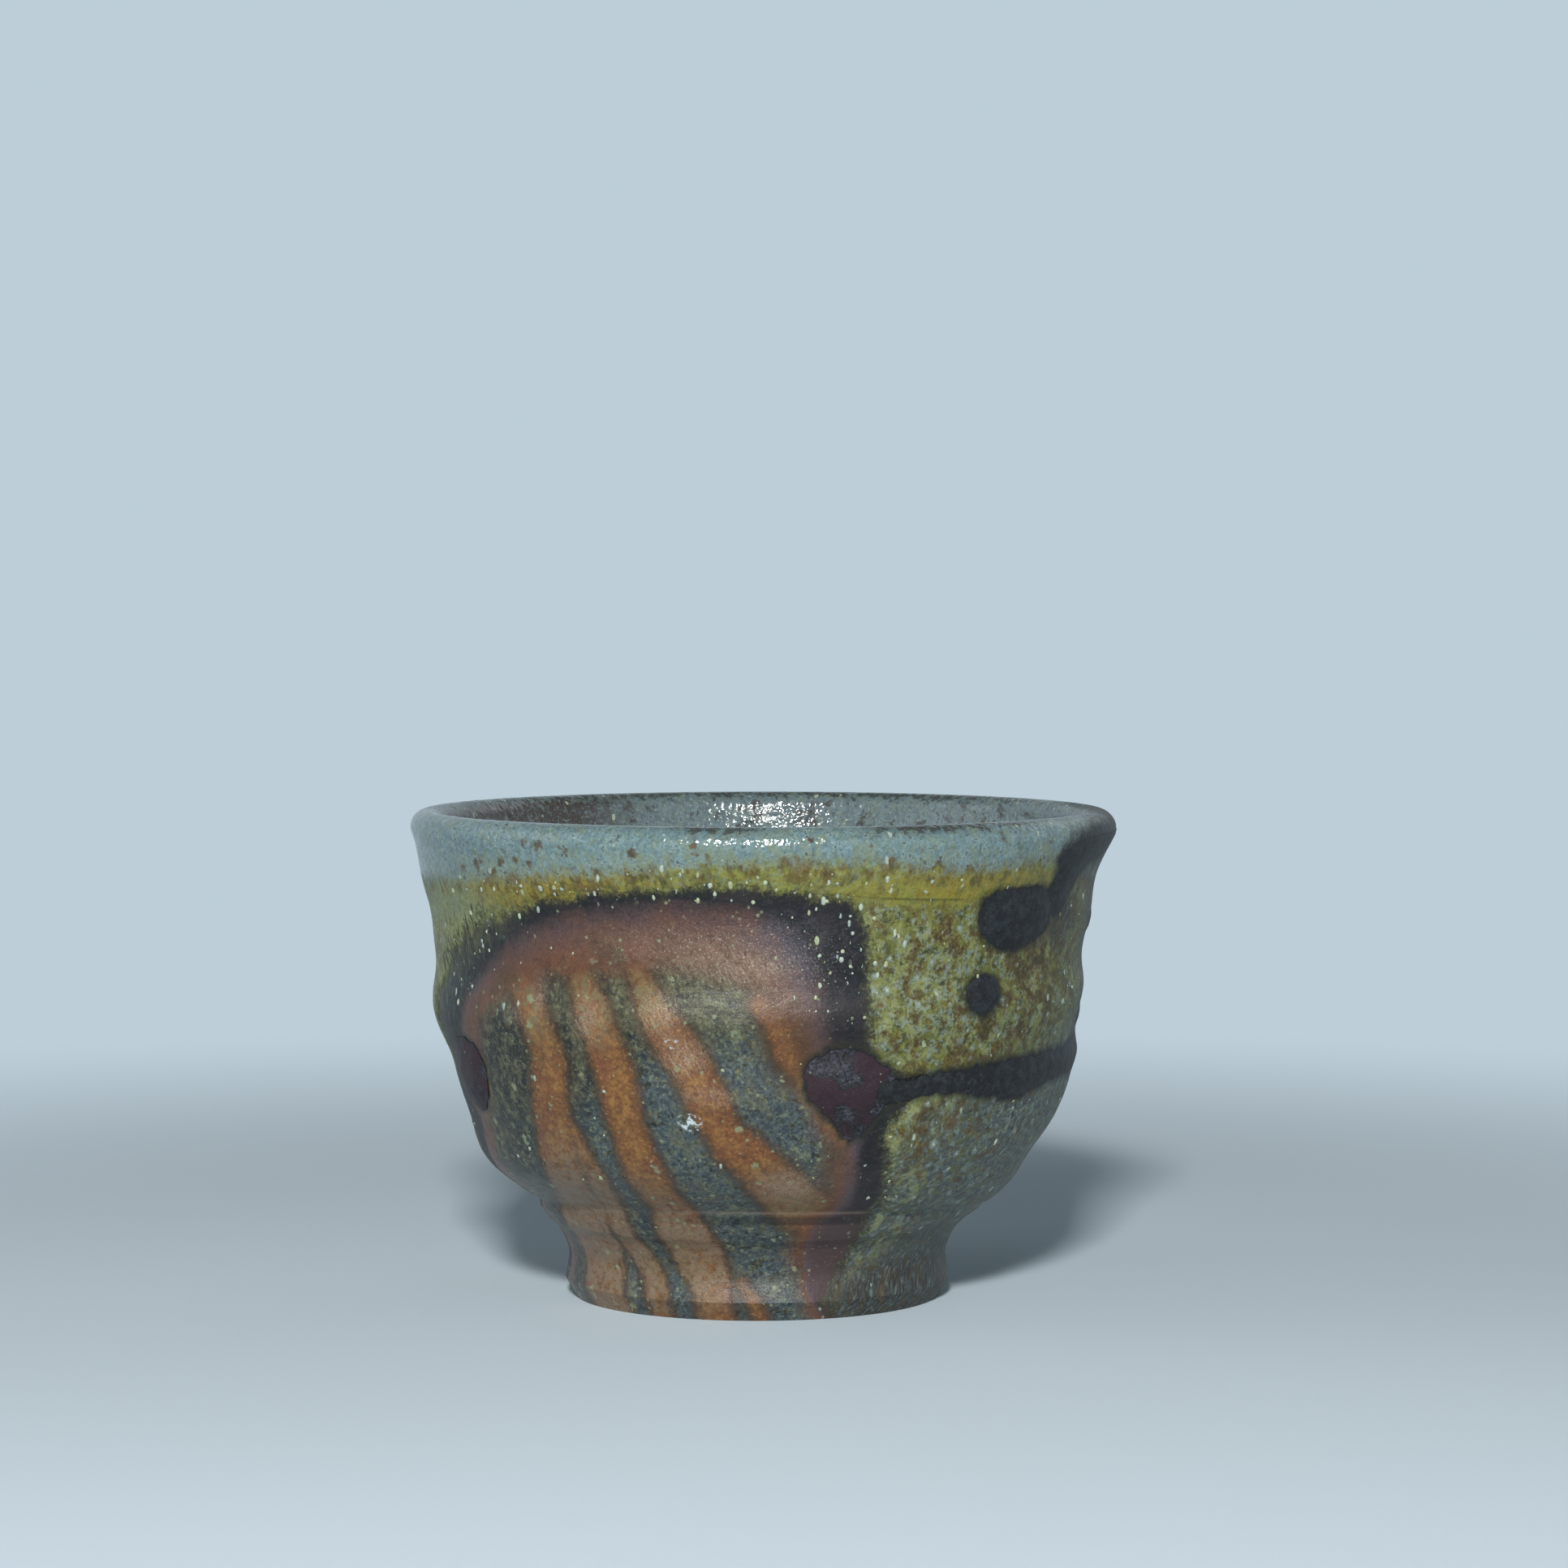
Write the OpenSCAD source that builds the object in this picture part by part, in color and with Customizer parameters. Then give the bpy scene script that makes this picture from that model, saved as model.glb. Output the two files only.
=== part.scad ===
// A wood-fired guinomi: a thrown and pressed stoneware bowl on a turned foot
// ring, with the ash glaze, glass runs and beads that the kiln left on it.
//
// Every piece but the foot ring is first drawn round, as a section of radius
// and height, and then moved by the same hand-pressed form, so that pieces
// that lie on each other still do. Angles are counted from the front of the
// cup (-Y) towards its right (+X).

/* [Overall] */
// Height of the clay, from the table to the lip
cup_h = 51.6; // [48:0.1:60]
// Diameter of the clay over the lip
rim_d = 74.6; // [70:0.1:84]

/* [Bowl] */
// Diameter over the narrow neck below the lip
neck_d = 69; // [66:0.1:72]
// Height of the neck
neck_h = 37; // [34:0.1:40]
// Diameter over the belly
belly_d = 64; // [60:0.1:67]
// Height at which the belly turns in
belly_h = 21.5; // [19:0.1:25]
// Diameter of the ledge where the bowl stops above the foot
ledge_d = 49; // [46:0.1:52]
// Height of the ledge at the back, where it is lowest
ledge_h = 9.7; // [9.4:0.1:12]
// Thickness of the wall
wall_t = 3.4; // [2.6:0.1:4.4]
// Thickness of the lip
lip_t = 3.1; // [2.8:0.1:4]
// Height of the rounding on top of the lip
lip_round = 1.6; // [1:0.1:2.4]
// Thickness of the floor, over the hollow of the foot
floor_t = 6; // [4.5:0.1:8]

/* [Foot] */
// Height of the foot ring, from the table to the bowl
foot_h = 8.6; // [8:0.1:9.2]
// Diameter of the foot ring where it joins the bowl
foot_top_d = 45; // [43:0.1:46]
// Diameter at the waist of the foot ring
foot_waist_d = 40.4; // [39:0.1:41.5]
// Diameter of the swollen lower edge of the foot ring
foot_base_d = 41.2; // [40:0.1:42.5]
// Width of the foot ring's wall, on the table
foot_wall_t = 4.4; // [3.5:0.1:5.5]
// Depth of the hollow under the foot
hollow_h = 5.4; // [5.2:0.1:6.4]
// Width of the cone that the trimming tool left in the middle of the hollow
cone_d = 9; // [6:0.1:14]
// Height of that cone
cone_h = 0.8; // [0.3:0.1:1]
// Height of the bevel on the foot's outer edge
foot_bevel_h = 2; // [1:0.1:2.6]
// How far the bevel draws the outer edge in
foot_bevel_in = 1.1; // [0.5:0.1:1.6]
// Rounding of the foot's inner edge
foot_round = 0.7; // [0.3:0.1:1.2]

/* [Hand-pressed form] */
// How deep a full press of the fingers goes
press_depth = 0.5; // [0:0.05:0.8]
// How much the lip rises at the back and falls at the front
rim_wave = 0.25; // [0:0.05:0.5]
// How much higher the ledge is at the front than at the back
ledge_wave = 2; // [0:0.1:2.4]
// How far the foot stands to the left of the lip's centre
foot_shift = 0.6; // [0:0.05:1.2]
// Height of the throwing ridges
ridge_t = 0.12; // [0:0.01:0.2]
// Spacing of the throwing ridges
ridge_pitch = 7.5; // [6:0.1:10]

/* [Glaze] */
// Thickness of the ash glaze on the wall and inside
glaze_t = 0.3; // [0.2:0.05:0.45]
// Thickness of the glass over the crown of the lip
lip_glaze_t = 0.45; // [0.3:0.05:0.6]
// Width of the band of glass below the lip, outside
lip_band_h = 6.2; // [4.5:0.1:8]
// Depth of the glass that pooled on the floor, over the glaze
pool_t = 0.7; // [0:0.05:1.2]
// Thickness of the glass runs
run_t = 0.35; // [0.2:0.05:0.5]
// Width of the glass run that circles the belly
lower_run_w = 3.4; // [2.4:0.1:4]
// Width of the glass run that falls from the lip
upper_run_w = 2.6; // [2:0.1:3.2]
// Width of the two large glass beads on the belly
large_bead_d = 8.2; // [7:0.1:9.5]
// Height of the long bead under the lip
upper_bead_d = 6.4; // [5:0.1:7]
// Width of the small bead
small_bead_d = 4.2; // [3:0.1:5]
// Width of the beads on the right side
side_bead_d = 2.2; // [1.6:0.1:2.8]
// How far a bead stands out from what it lies on
bead_t = 0.45; // [0.3:0.05:0.7]

/* [Hidden] */

// Gap that keeps the facets of one skin out of the skin below it
seat = 0.08;
// Slip joint between the foot ring and the boss that it is set around
slip_gap = 0.1;

// Columns around the cup as [from, to, count], closer together where the ash
// glaze ends, and rows along each stretch of the section
column_spans = [[-104, -84, 5], [-84, 12, 15], [12, 30, 12], [30, 256, 27]];
outer_rows = 15;
lip_rows = 5;
inner_rows = 11;
table_rows = 90;
bead_columns = 14;
run_rings = 18;

rim_r = rim_d / 2;
neck_r = neck_d / 2;
belly_r = belly_d / 2;
ledge_r = ledge_d / 2;
foot_top_r = foot_top_d / 2;
lip_base_h = cup_h - lip_round;
floor_h = hollow_h + floor_t;
ledge_under_t = 0.3;
boss_r = foot_base_d / 2 - foot_bevel_in - foot_wall_t - slip_gap;

// Points between two named places, as shares of the way along [radius, height]
low_belly_shares = [0.55, 0.35];
shoulder_shares = [0.96, 0.64];
flare_shares = [0.5, 0.6];

function mix(low, high, share) = low + (high - low) * share;
function between(p, q, shares) = [mix(p.x, q.x, shares.x), mix(p.y, q.y, shares.y)];
function held(x) = max(0, min(1, x));
function smooth(x) = let (c = held(x)) c * c * (3 - 2 * c);
function turn(angle) = angle - 360 * round(angle / 360);
function total(list) = list * [for (entry = list) 1];

// A smooth line through a list of points, from the first at 0 to the last at 1
function through(points, along) =
    let (
        spans = len(points) - 1,
        first = min(floor(held(along) * spans), spans - 1),
        u = held(along) * spans - first,
        before = points[max(first - 1, 0)],
        start = points[first],
        stop = points[first + 1],
        after = points[min(first + 2, spans)]
    )
    (2 * start + (stop - before) * u
        + (2 * before - 5 * start + 4 * stop - after) * u ^ 2
        + (3 * start - before - 3 * stop + after) * u ^ 3) / 2;

// The section of the clay as [radius, height]: up the outside of the wall
// from 0 to 1, over the lip from 1 to 2, and down the inside from 2 to 3
ledge_point = [ledge_r, ledge_h];
belly_point = [belly_r, belly_h];
neck_point = [neck_r, neck_h];
lip_point = [rim_r, lip_base_h];
outside_points = [
    ledge_point,
    between(ledge_point, belly_point, low_belly_shares),
    belly_point,
    between(belly_point, neck_point, shoulder_shares),
    neck_point,
    between(neck_point, lip_point, flare_shares),
    lip_point
];
inside_points = [
    [rim_r - lip_t, lip_base_h],
    [neck_r - wall_t, neck_h],
    [belly_r - wall_t, mix(belly_h, neck_h, 1 / 4)],
    [(belly_r - wall_t) * 0.86, mix(floor_h, belly_h, 0.52)],
    [(belly_r - wall_t) * 0.56, mix(floor_h, belly_h, 0.13)],
    [0, floor_h]
];
function lip_arc(along) = [
    rim_r - lip_t / 2 * (1 - cos(180 * along)),
    lip_base_h + lip_round * sin(180 * along)
];
function section(s) =
    s < 1 ? through(outside_points, s)
    : s < 2 ? lip_arc(s - 1)
    : through(inside_points, s - 2);

// A point that lies d proud of the section, out of the clay
section_step = 1 / 200;
function proud(s, d) =
    let (
        run = section(min(s + section_step, 3)) - section(max(s - section_step, 0)),
        out = [run.y, -run.x] / norm(run)
    )
    section(s) + d * out;

// The outer wall as [height, radius], and as [height, place on the section]
wall_table = [
    for (i = [0:table_rows])
        let (p = section(i / (table_rows + 1)))
        [p.y, p.x]
];
share_table = [for (i = [0:table_rows]) [wall_table[i].x, i / (table_rows + 1)]];
function wall_r(h) = lookup(h, wall_table);
function share_at(h) = lookup(h, share_table);

// Finger presses: angle, height as a share of the cup's, half width and half
// height as shares of the lip's radius, and depth as a share of press_depth.
// A negative depth is a swelling.
press_shares = [
    [-92, 0.63, 0.4, 0.09, -0.6],
    [-90, 0.71, 0.4, 0.07, 0.5],
    [-90, 0.45, 0.4, 0.09, 1.1],
    [-90, 0.18, 0.7, 0.05, 2.2],
    [88, 0.6, 0.5, 0.13, 0.9],
    [88, 0.44, 0.4, 0.06, -1.1],
    [90, 0.28, 0.5, 0.08, 1.2],
    [92, 0.98, 0.3, 0.06, -0.7],
    [90, 0.86, 0.5, 0.14, 1],
    [-25, 0.7, 0.34, 0.34, -0.5],
    [20, 0.52, 0.16, 0.16, 0.5],
    [150, 0.5, 0.3, 0.3, 0.8],
    [-150, 0.66, 0.3, 0.3, 0.6],
    [-140, 0.95, 0.4, 0.4, 0.5]
];
function pressed(angle, h) = press_depth * total([
    for (q = press_shares)
        let (
            aside = turn(angle - q[0]) * PI / 180 / q[2],
            above = (h - q[1] * cup_h) / rim_r / q[3]
        )
        q[4] * exp(-(aside * aside + above * above) / 2)
]);
function ridged(angle, h) = ridge_t * sin(360 * h / ridge_pitch - angle);

// Where a point of the round section lies on the finished cup. The form fades
// out towards the axis and down to the joint with the foot.
ledge_top_angle = -5;
function ledge_lift(angle) = ledge_wave * ((1 + cos(angle - ledge_top_angle)) / 2) ^ 2;
function place(angle, p) =
    let (
        free = smooth((p.y - foot_h) / (ledge_h - foot_h)),
        out = smooth(p.x / (ledge_r / 2)),
        lift = ledge_lift(angle) * free * (1 - smooth((p.y - ledge_h) / (belly_h - ledge_h)))
            - rim_wave * cos(angle) * smooth((p.y - belly_h) / (cup_h - belly_h)),
        r = p.x - (pressed(angle, p.y) - ridged(angle, p.y)) * free * out,
        lean = foot_shift * (1 - held((p.y - foot_h) / (cup_h - foot_h)))
    )
    [r * sin(angle) - lean, -r * cos(angle), p.y + lift * out];

// A point d proud of the outer wall's facets, given by angle and height
function on_wall(angle, h, d) =
    let (
        rows_up = share_at(h) * outer_rows,
        row = min(floor(rows_up), outer_rows - 1),
        low = place(angle, proud(row / outer_rows, d)),
        high = place(angle, proud((row + 1) / outer_rows, d))
    )
    mix(low, high, rows_up - row);

column_angles = [
    for (span = column_spans, j = [0:span[2] - 1])
        mix(span[0], span[1], j / span[2])
];
function ring(p) = [for (angle = column_angles) place(angle, p)];

// The section's rows from one place on it to another, with both ends. Skins
// that share rows and columns seat on each other's facets.
section_rows = concat(
    [for (i = [0:outer_rows - 1]) i / outer_rows],
    [for (i = [0:lip_rows - 1]) 1 + i / lip_rows],
    [for (i = [0:inner_rows]) 2 + i / inner_rows]
);
near_share = 0.01;
function rows_between(low, high) = concat(
    [low],
    [for (s = section_rows) if (s > low + near_share && s < high - near_share) s],
    [high]
);

// A closed skin over a stack of rings of points, between two end points
module skin(rings, first, last) {
    n = len(rings[0]);
    m = len(rings);
    top = m * n + 1;
    points = concat([first], [for (ring = rings) each ring], [last]);
    sides = [
        for (i = [0:m - 2], j = [0:n - 1])
            let (
                k = (j + 1) % n,
                a = 1 + i * n + j,
                b = 1 + i * n + k,
                c = a + n,
                d = b + n
            )
            each [[a, b, d], [a, d, c]]
    ];
    caps = [
        for (j = [0:n - 1])
            let (k = (j + 1) % n)
            each [[0, 1 + k, 1 + j], [top, top - n + j, top - n + k]]
    ];
    polyhedron(points, concat(sides, caps), convexity = 6);
}

// A closed skin over a section that goes right round the cup as a loop
module hoop(sections) {
    m = len(sections);
    n = len(sections[0]);
    points = [for (line = sections) each line];
    faces = [
        for (i = [0:m - 1], j = [0:n - 1])
            let (
                k = (j + 1) % n,
                next = (i + 1) % m,
                a = i * n + j,
                b = i * n + k,
                c = next * n + j,
                d = next * n + k
            )
            each [[a, b, d], [a, d, c]]
    ];
    polyhedron(points, faces, convexity = 6);
}

// The thrown bowl, from the boss under its floor, over the lip, to the floor
module bowl() {
    under = [
        [cone_d / 4, hollow_h - cone_h * 0.7],
        [cone_d / 2, hollow_h],
        [boss_r, hollow_h],
        [boss_r, foot_h],
        [foot_top_r, foot_h],
        [ledge_r - ledge_under_t / 2, ledge_h - ledge_under_t]
    ];
    line = concat(under, [for (s = rows_between(0, 3 - 1 / inner_rows)) section(s)]);
    color("#5d4635")
        skin(
            [for (p = line) ring(p)],
            place(0, [0, hollow_h - cone_h]),
            place(0, [0, floor_h])
        );
}

// The turned foot ring, set around the boss and against the bowl's flat
module foot_ring() {
    base_r = foot_base_d / 2;
    waist_r = foot_waist_d / 2;
    tread_r = base_r - foot_bevel_in;
    bore_r = tread_r - foot_wall_t;
    outer = [
        for (i = [0:outer_rows])
            through([
                [base_r, foot_bevel_h],
                [waist_r, mix(foot_bevel_h, foot_h, 0.42)],
                [mix(waist_r, foot_top_r, 0.45), mix(foot_bevel_h, foot_h, 0.8)],
                [foot_top_r, foot_h]
            ], i / outer_rows)
    ];
    inner_edge = [
        for (i = [lip_rows:-1:0])
            let (angle = 90 * i / lip_rows)
            [bore_r + foot_round * (1 - sin(angle)), foot_round * (1 - cos(angle))]
    ];
    color("#4d4034")
        translate([-foot_shift, 0, 0])
            rotate_extrude($fn = 96)
                polygon(concat([[tread_r, 0]], outer, [[bore_r, foot_h]], inner_edge));
}

// A skin of glaze along rows of the section, up its clay side and back down its
// open side. thick(share) gives how far it stands out along the way.
function glaze_loop(angle, rows, thick) =
    let (last = len(rows) - 1)
    concat(
        [for (i = [0:last]) place(angle, proud(rows[i], seat))],
        [for (i = [last:-1:0]) place(angle, proud(rows[i], seat + thick(i / last)))]
    );

lip_band_out = share_at(cup_h - lip_band_h);
lip_band_in = 2 + lip_band_h / (cup_h - floor_h) / 2;
band_gap_share = 0.004;

// The glass over the lip, thickest on its crown
module lip_glaze() {
    rows = rows_between(lip_band_out, lip_band_in);
    thick = function (along) mix(glaze_t, lip_glaze_t, sin(180 * along));
    color("#7c8c8f")
        hoop([for (angle = column_angles) glaze_loop(angle, rows, thick)]);
}

// Where the ash glaze ends, as angle and share of the cup's height. It runs
// down to the ledge on the side that faced the fire. Another pot stood against
// the front left and masked it, and there the glaze stops in an arch.
bare_share = 0.2;
arch_shares = [
    [-180, bare_share],
    [-96, bare_share],
    [-90, 0.48],
    [-84, 0.64],
    [-66, 0.73],
    [-52, 0.79],
    [-32, 0.86],
    [-8, 0.88],
    [8, 0.87],
    [16, 0.84],
    [19, 0.58],
    [24, 0.39],
    [28, bare_share],
    [180, bare_share]
];
function coat_low_h(angle) = max(
    ledge_h + ledge_under_t,
    min(lookup(turn(angle), arch_shares) * cup_h, cup_h - lip_band_h - ledge_under_t)
);

// The natural ash glaze on the wall, with a thin lower edge. Its rows are the
// wall's own, but those below the edge are crowded together just above it.
crowd_share = 0.1;
module ash_coat() {
    edge_share = 0.25;
    taper_share = 0.2;
    high = lip_band_out - band_gap_share;
    wall_rows = rows_between(0, high);
    last = len(wall_rows) - 1;
    crowded = function (low) [
        for (i = [0:last]) max(wall_rows[i], mix(low, high, crowd_share * i / last))
    ];
    thick = function (along) glaze_t * mix(edge_share, 1, smooth(along / taper_share));
    color("#77713f")
        hoop([
            for (angle = column_angles)
                glaze_loop(angle, crowded(share_at(coat_low_h(angle))), thick)
        ]);
}

// The glaze that lines the inside, and deepens to a pool on the floor
module inner_glaze() {
    pool_share = 0.35;
    rows = rows_between(lip_band_in + band_gap_share, 3 - 1 / inner_rows);
    last = len(rows) - 1;
    thick = function (s) glaze_t + pool_t * smooth((s - 3 + pool_share) / pool_share);
    color("#6c7069")
        skin(
            concat(
                [for (i = [last:-1:0]) ring(proud(rows[i], seat))],
                [for (s = rows) ring(proud(s, seat + thick(s)))]
            ),
            place(0, [0, floor_h + seat]),
            place(0, [0, floor_h + seat + thick(3)])
        );
}

// A low bead of glass on the wall, around an angle and a height
bead_ring_shares = [0.4, 0.72, 0.92, 1];
bead_edge_share = 0.3;
bead_lobe_share = 0.08;
module bead(angle, h, wide, tall, lies_on) {
    r = wall_r(h);
    last = len(bead_ring_shares) - 1;
    spot = function (share, j, d)
        let (
            phi = 360 * j / bead_columns,
            lobed = share * (1 + bead_lobe_share * sin(3 * phi + angle))
        )
        on_wall(
            angle + wide / 2 * lobed * cos(phi) / r * 180 / PI,
            h + tall / 2 * lobed * sin(phi),
            lies_on + d
        );
    loop = function (share, d) [for (j = [0:bead_columns - 1]) spot(share, j, d)];
    dome = function (share) bead_t * mix(bead_edge_share, 1, sqrt(1 - share * share));
    skin(
        concat(
            [for (i = [0:last]) loop(bead_ring_shares[i], 0)],
            [for (i = [last:-1:0]) loop(bead_ring_shares[i], dome(bead_ring_shares[i]))]
        ),
        on_wall(angle, h, lies_on),
        on_wall(angle, h, lies_on + bead_t)
    );
}

// A run of glass along a line of places: an angle, a share of the cup's height
// and the run's width there as a share of its full width
run_cross_shares = [[1, 0], [0.4, 0], [-0.4, 0], [-1, 0], [-0.75, 0.8], [0, 1], [0.75, 0.8]];
module run(place_shares, wide, lies_on) {
    line = [for (q = place_shares) [q[0] * PI / 180 * rim_r, q[1] * cup_h, q[2]]];
    at = function (along) through(line, along);
    across = function (along)
        let (d = at(along + 1 / run_rings) - at(along - 1 / run_rings))
        [-d.y, d.x] / norm([d.x, d.y]);
    spot = function (along, c)
        let (
            p = at(along),
            side = across(along) * c.x * wide * p.z / 2
        )
        on_wall((p.x + side.x) / rim_r * 180 / PI, p.y + side.y, lies_on + run_t * c.y);
    middle = function (along) spot(along, [0, 1 / 2]);
    skin(
        [for (i = [1:run_rings - 1]) [for (c = run_cross_shares) spot(i / run_rings, c)]],
        middle(0),
        middle(1)
    );
}

// What a bead or a run lies on: bare clay, the ash glaze or the lip's glass
on_clay = 1.5 * seat;
on_coat = glaze_t + 2.2 * seat;
on_lip = lip_glaze_t + 2 * seat;
bead_color = "#261d24";

module large_bead() {
    color(bead_color)
        bead(13.5, 0.49 * cup_h, large_bead_d, large_bead_d, on_clay);
}

module left_bead() {
    color(bead_color)
        bead(-68, 0.48 * cup_h, large_bead_d, large_bead_d, on_clay);
}

module upper_bead() {
    color(bead_color)
        bead(47, 0.81 * cup_h, upper_bead_d * 1.4, upper_bead_d, on_lip);
}

module small_bead() {
    color(bead_color)
        bead(40.5, 0.665 * cup_h, small_bead_d, small_bead_d, on_coat);
}

module side_beads() {
    color(bead_color)
        for (h_share = [0.59, 0.78])
            bead(86, h_share * cup_h, side_bead_d * 0.8, side_bead_d, on_coat);
}

module lower_run() {
    place_shares = [
        [24.5, 0.49, 0.5],
        [36, 0.498, 0.8],
        [48, 0.5, 1],
        [60, 0.506, 1.2],
        [74, 0.512, 1.3],
        [88, 0.51, 1.2],
        [100, 0.506, 0.9],
        [110, 0.51, 0.4]
    ];
    color(bead_color)
        run(place_shares, lower_run_w, on_coat);
}

module upper_run() {
    place_shares = [
        [57, 0.85, 0.6],
        [60, 0.88, 0.8],
        [63.5, 0.91, 1],
        [67, 0.93, 0.8]
    ];
    color(bead_color)
        run(place_shares, upper_run_w, on_lip);
}

bowl();
foot_ring();
lip_glaze();
ash_coat();
inner_glaze();
lower_run();
upper_run();
large_bead();
left_bead();
upper_bead();
small_bead();
side_beads();
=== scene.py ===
"""The looks of a wood-fired guinomi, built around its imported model."""
import math
from types import SimpleNamespace

import bmesh
import bpy
import numpy as np
from bpy.props import FloatProperty, FloatVectorProperty, IntProperty, PointerProperty
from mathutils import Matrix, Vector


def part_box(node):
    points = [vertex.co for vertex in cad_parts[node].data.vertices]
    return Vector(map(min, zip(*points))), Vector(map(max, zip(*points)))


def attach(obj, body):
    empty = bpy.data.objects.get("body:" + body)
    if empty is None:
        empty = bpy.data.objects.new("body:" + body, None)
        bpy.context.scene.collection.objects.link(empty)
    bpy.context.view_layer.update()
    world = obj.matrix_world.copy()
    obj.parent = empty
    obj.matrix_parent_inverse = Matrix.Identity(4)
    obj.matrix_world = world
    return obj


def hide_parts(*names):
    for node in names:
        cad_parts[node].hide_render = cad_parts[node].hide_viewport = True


bl_info = {
    "name": "Wood-fired Guinomi",
    "version": (1, 0, 0),
    "blender": (4, 5, 0),
    "location": "View3D > Sidebar > Guinomi",
    "description": "Builds a small wood-fired stoneware sake cup with its ash glaze, glass runs and beads",
    "category": "Object",
}

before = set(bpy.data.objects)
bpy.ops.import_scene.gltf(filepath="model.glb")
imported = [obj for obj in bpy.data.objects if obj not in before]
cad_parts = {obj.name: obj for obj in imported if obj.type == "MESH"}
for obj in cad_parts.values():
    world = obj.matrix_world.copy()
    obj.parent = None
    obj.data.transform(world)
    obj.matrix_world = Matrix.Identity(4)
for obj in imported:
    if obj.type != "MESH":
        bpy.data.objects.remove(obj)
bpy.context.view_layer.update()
FOOT_LOW, FOOT_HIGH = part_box("foot_ring")
MM = 0.001


# Sizes and colours that a user would change


def length(name, description, millimetres):
    """A property for a length, in metres, from its usual value in millimetres."""
    return FloatProperty(
        name=name, description=description, default=millimetres * MM, min=0, precision=5,
        subtype="DISTANCE", unit="LENGTH",
    )


def linear(hexadecimal):
    """Linear red, green and blue of an sRGB colour such as "#8a5b35"."""
    parts = [int(hexadecimal[i:i + 2], 16) / 255 for i in (1, 3, 5)]
    return tuple(c / 12.92 if c <= 0.04045 else ((c + 0.055) / 1.055) ** 2.4 for c in parts)


def colour(name, description, hexadecimal):
    """A property for a colour, from its sRGB value."""
    return FloatVectorProperty(
        name=name, description=description, default=linear(hexadecimal), size=3, min=0, max=1,
        subtype="COLOR",
    )


class GuinomiSizes(bpy.types.PropertyGroup):
    """The clay's sizes, the glaze's and the grain's."""

    cup_h: length("Height", "Height of the clay from the table to the lip", 51.6)
    rim_d: length("Lip", "Diameter of the clay over the lip", 74.6)
    neck_d: length("Neck", "Diameter at the neck below the lip", 69)
    neck_h: length("Neck height", "Height of the neck", 37)
    belly_d: length("Belly", "Diameter of the belly", 64)
    belly_h: length("Belly height", "Height at which the belly turns in", 21.5)
    ledge_d: length("Ledge", "Diameter of the ledge above the foot", 49)
    ledge_h: length("Ledge height", "Height of the ledge at the back", 9.7)
    wall_t: length("Wall", "Thickness of the wall", 3.4)
    lip_t: length("Lip thickness", "Thickness of the lip", 3.1)
    lip_round: length("Lip rounding", "Height of the rounding on the lip", 1.6)
    floor_t: length("Floor", "Thickness of the floor over the foot's hollow", 6)
    foot_h: length("Foot height", "Height of the foot ring", (FOOT_HIGH.z - FOOT_LOW.z) / MM)
    foot_top_d: length("Foot top", "Diameter of the foot at the bowl", (FOOT_HIGH.x - FOOT_LOW.x) / MM)
    foot_waist_d: length("Foot waist", "Diameter at the foot's waist", 40.4)
    foot_base_d: length("Foot base", "Diameter of the foot's swollen lower edge", 41.2)
    foot_wall_t: length("Foot wall", "Width of the foot's wall on the table", 4.4)
    hollow_h: length("Hollow", "Depth of the hollow under the foot", 5.4)
    cone_d: length("Cone", "Width of the trimming cone in the hollow", 9)
    cone_h: length("Cone height", "Height of the trimming cone", 0.8)
    foot_bevel_h: length("Foot bevel", "Height of the bevel on the foot's edge", 2)
    foot_bevel_in: length("Bevel depth", "How far the bevel draws the edge in", 1.1)
    foot_round: length("Foot rounding", "Rounding of the foot's inner edge", 0.7)
    press_depth: length("Press", "How deep a full press of the fingers goes", 0.5)
    rim_wave: length("Lip wave", "How much the lip rises at the back", 0.25)
    ledge_wave: length("Ledge wave", "How much higher the ledge is at the front", 2)
    foot_shift: length("Foot shift", "How far the foot stands to the left", 0.6)
    ridge_t: length("Ridge", "Height of the throwing ridges", 0.12)
    ridge_pitch: length("Ridge spacing", "Spacing of the throwing ridges", 7.5)
    glaze_t: length("Ash glaze", "Thickness of the ash glaze", 0.3)
    lip_glaze_t: length("Lip glass", "Thickness of the glass on the lip's crown", 0.45)
    lip_band_h: length("Lip band", "Width of the band of glass outside the lip", 6.2)
    pool_t: length("Pool", "Depth of the glass pooled on the floor", 0.7)
    bead_t: length("Beads", "How far the glass beads stand out", 0.45)
    run_t: length("Runs", "Thickness of the glass runs", 0.35)
    grain_t: length("Grain", "Height of the clay's and the ash's grain", 0.05)


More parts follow.
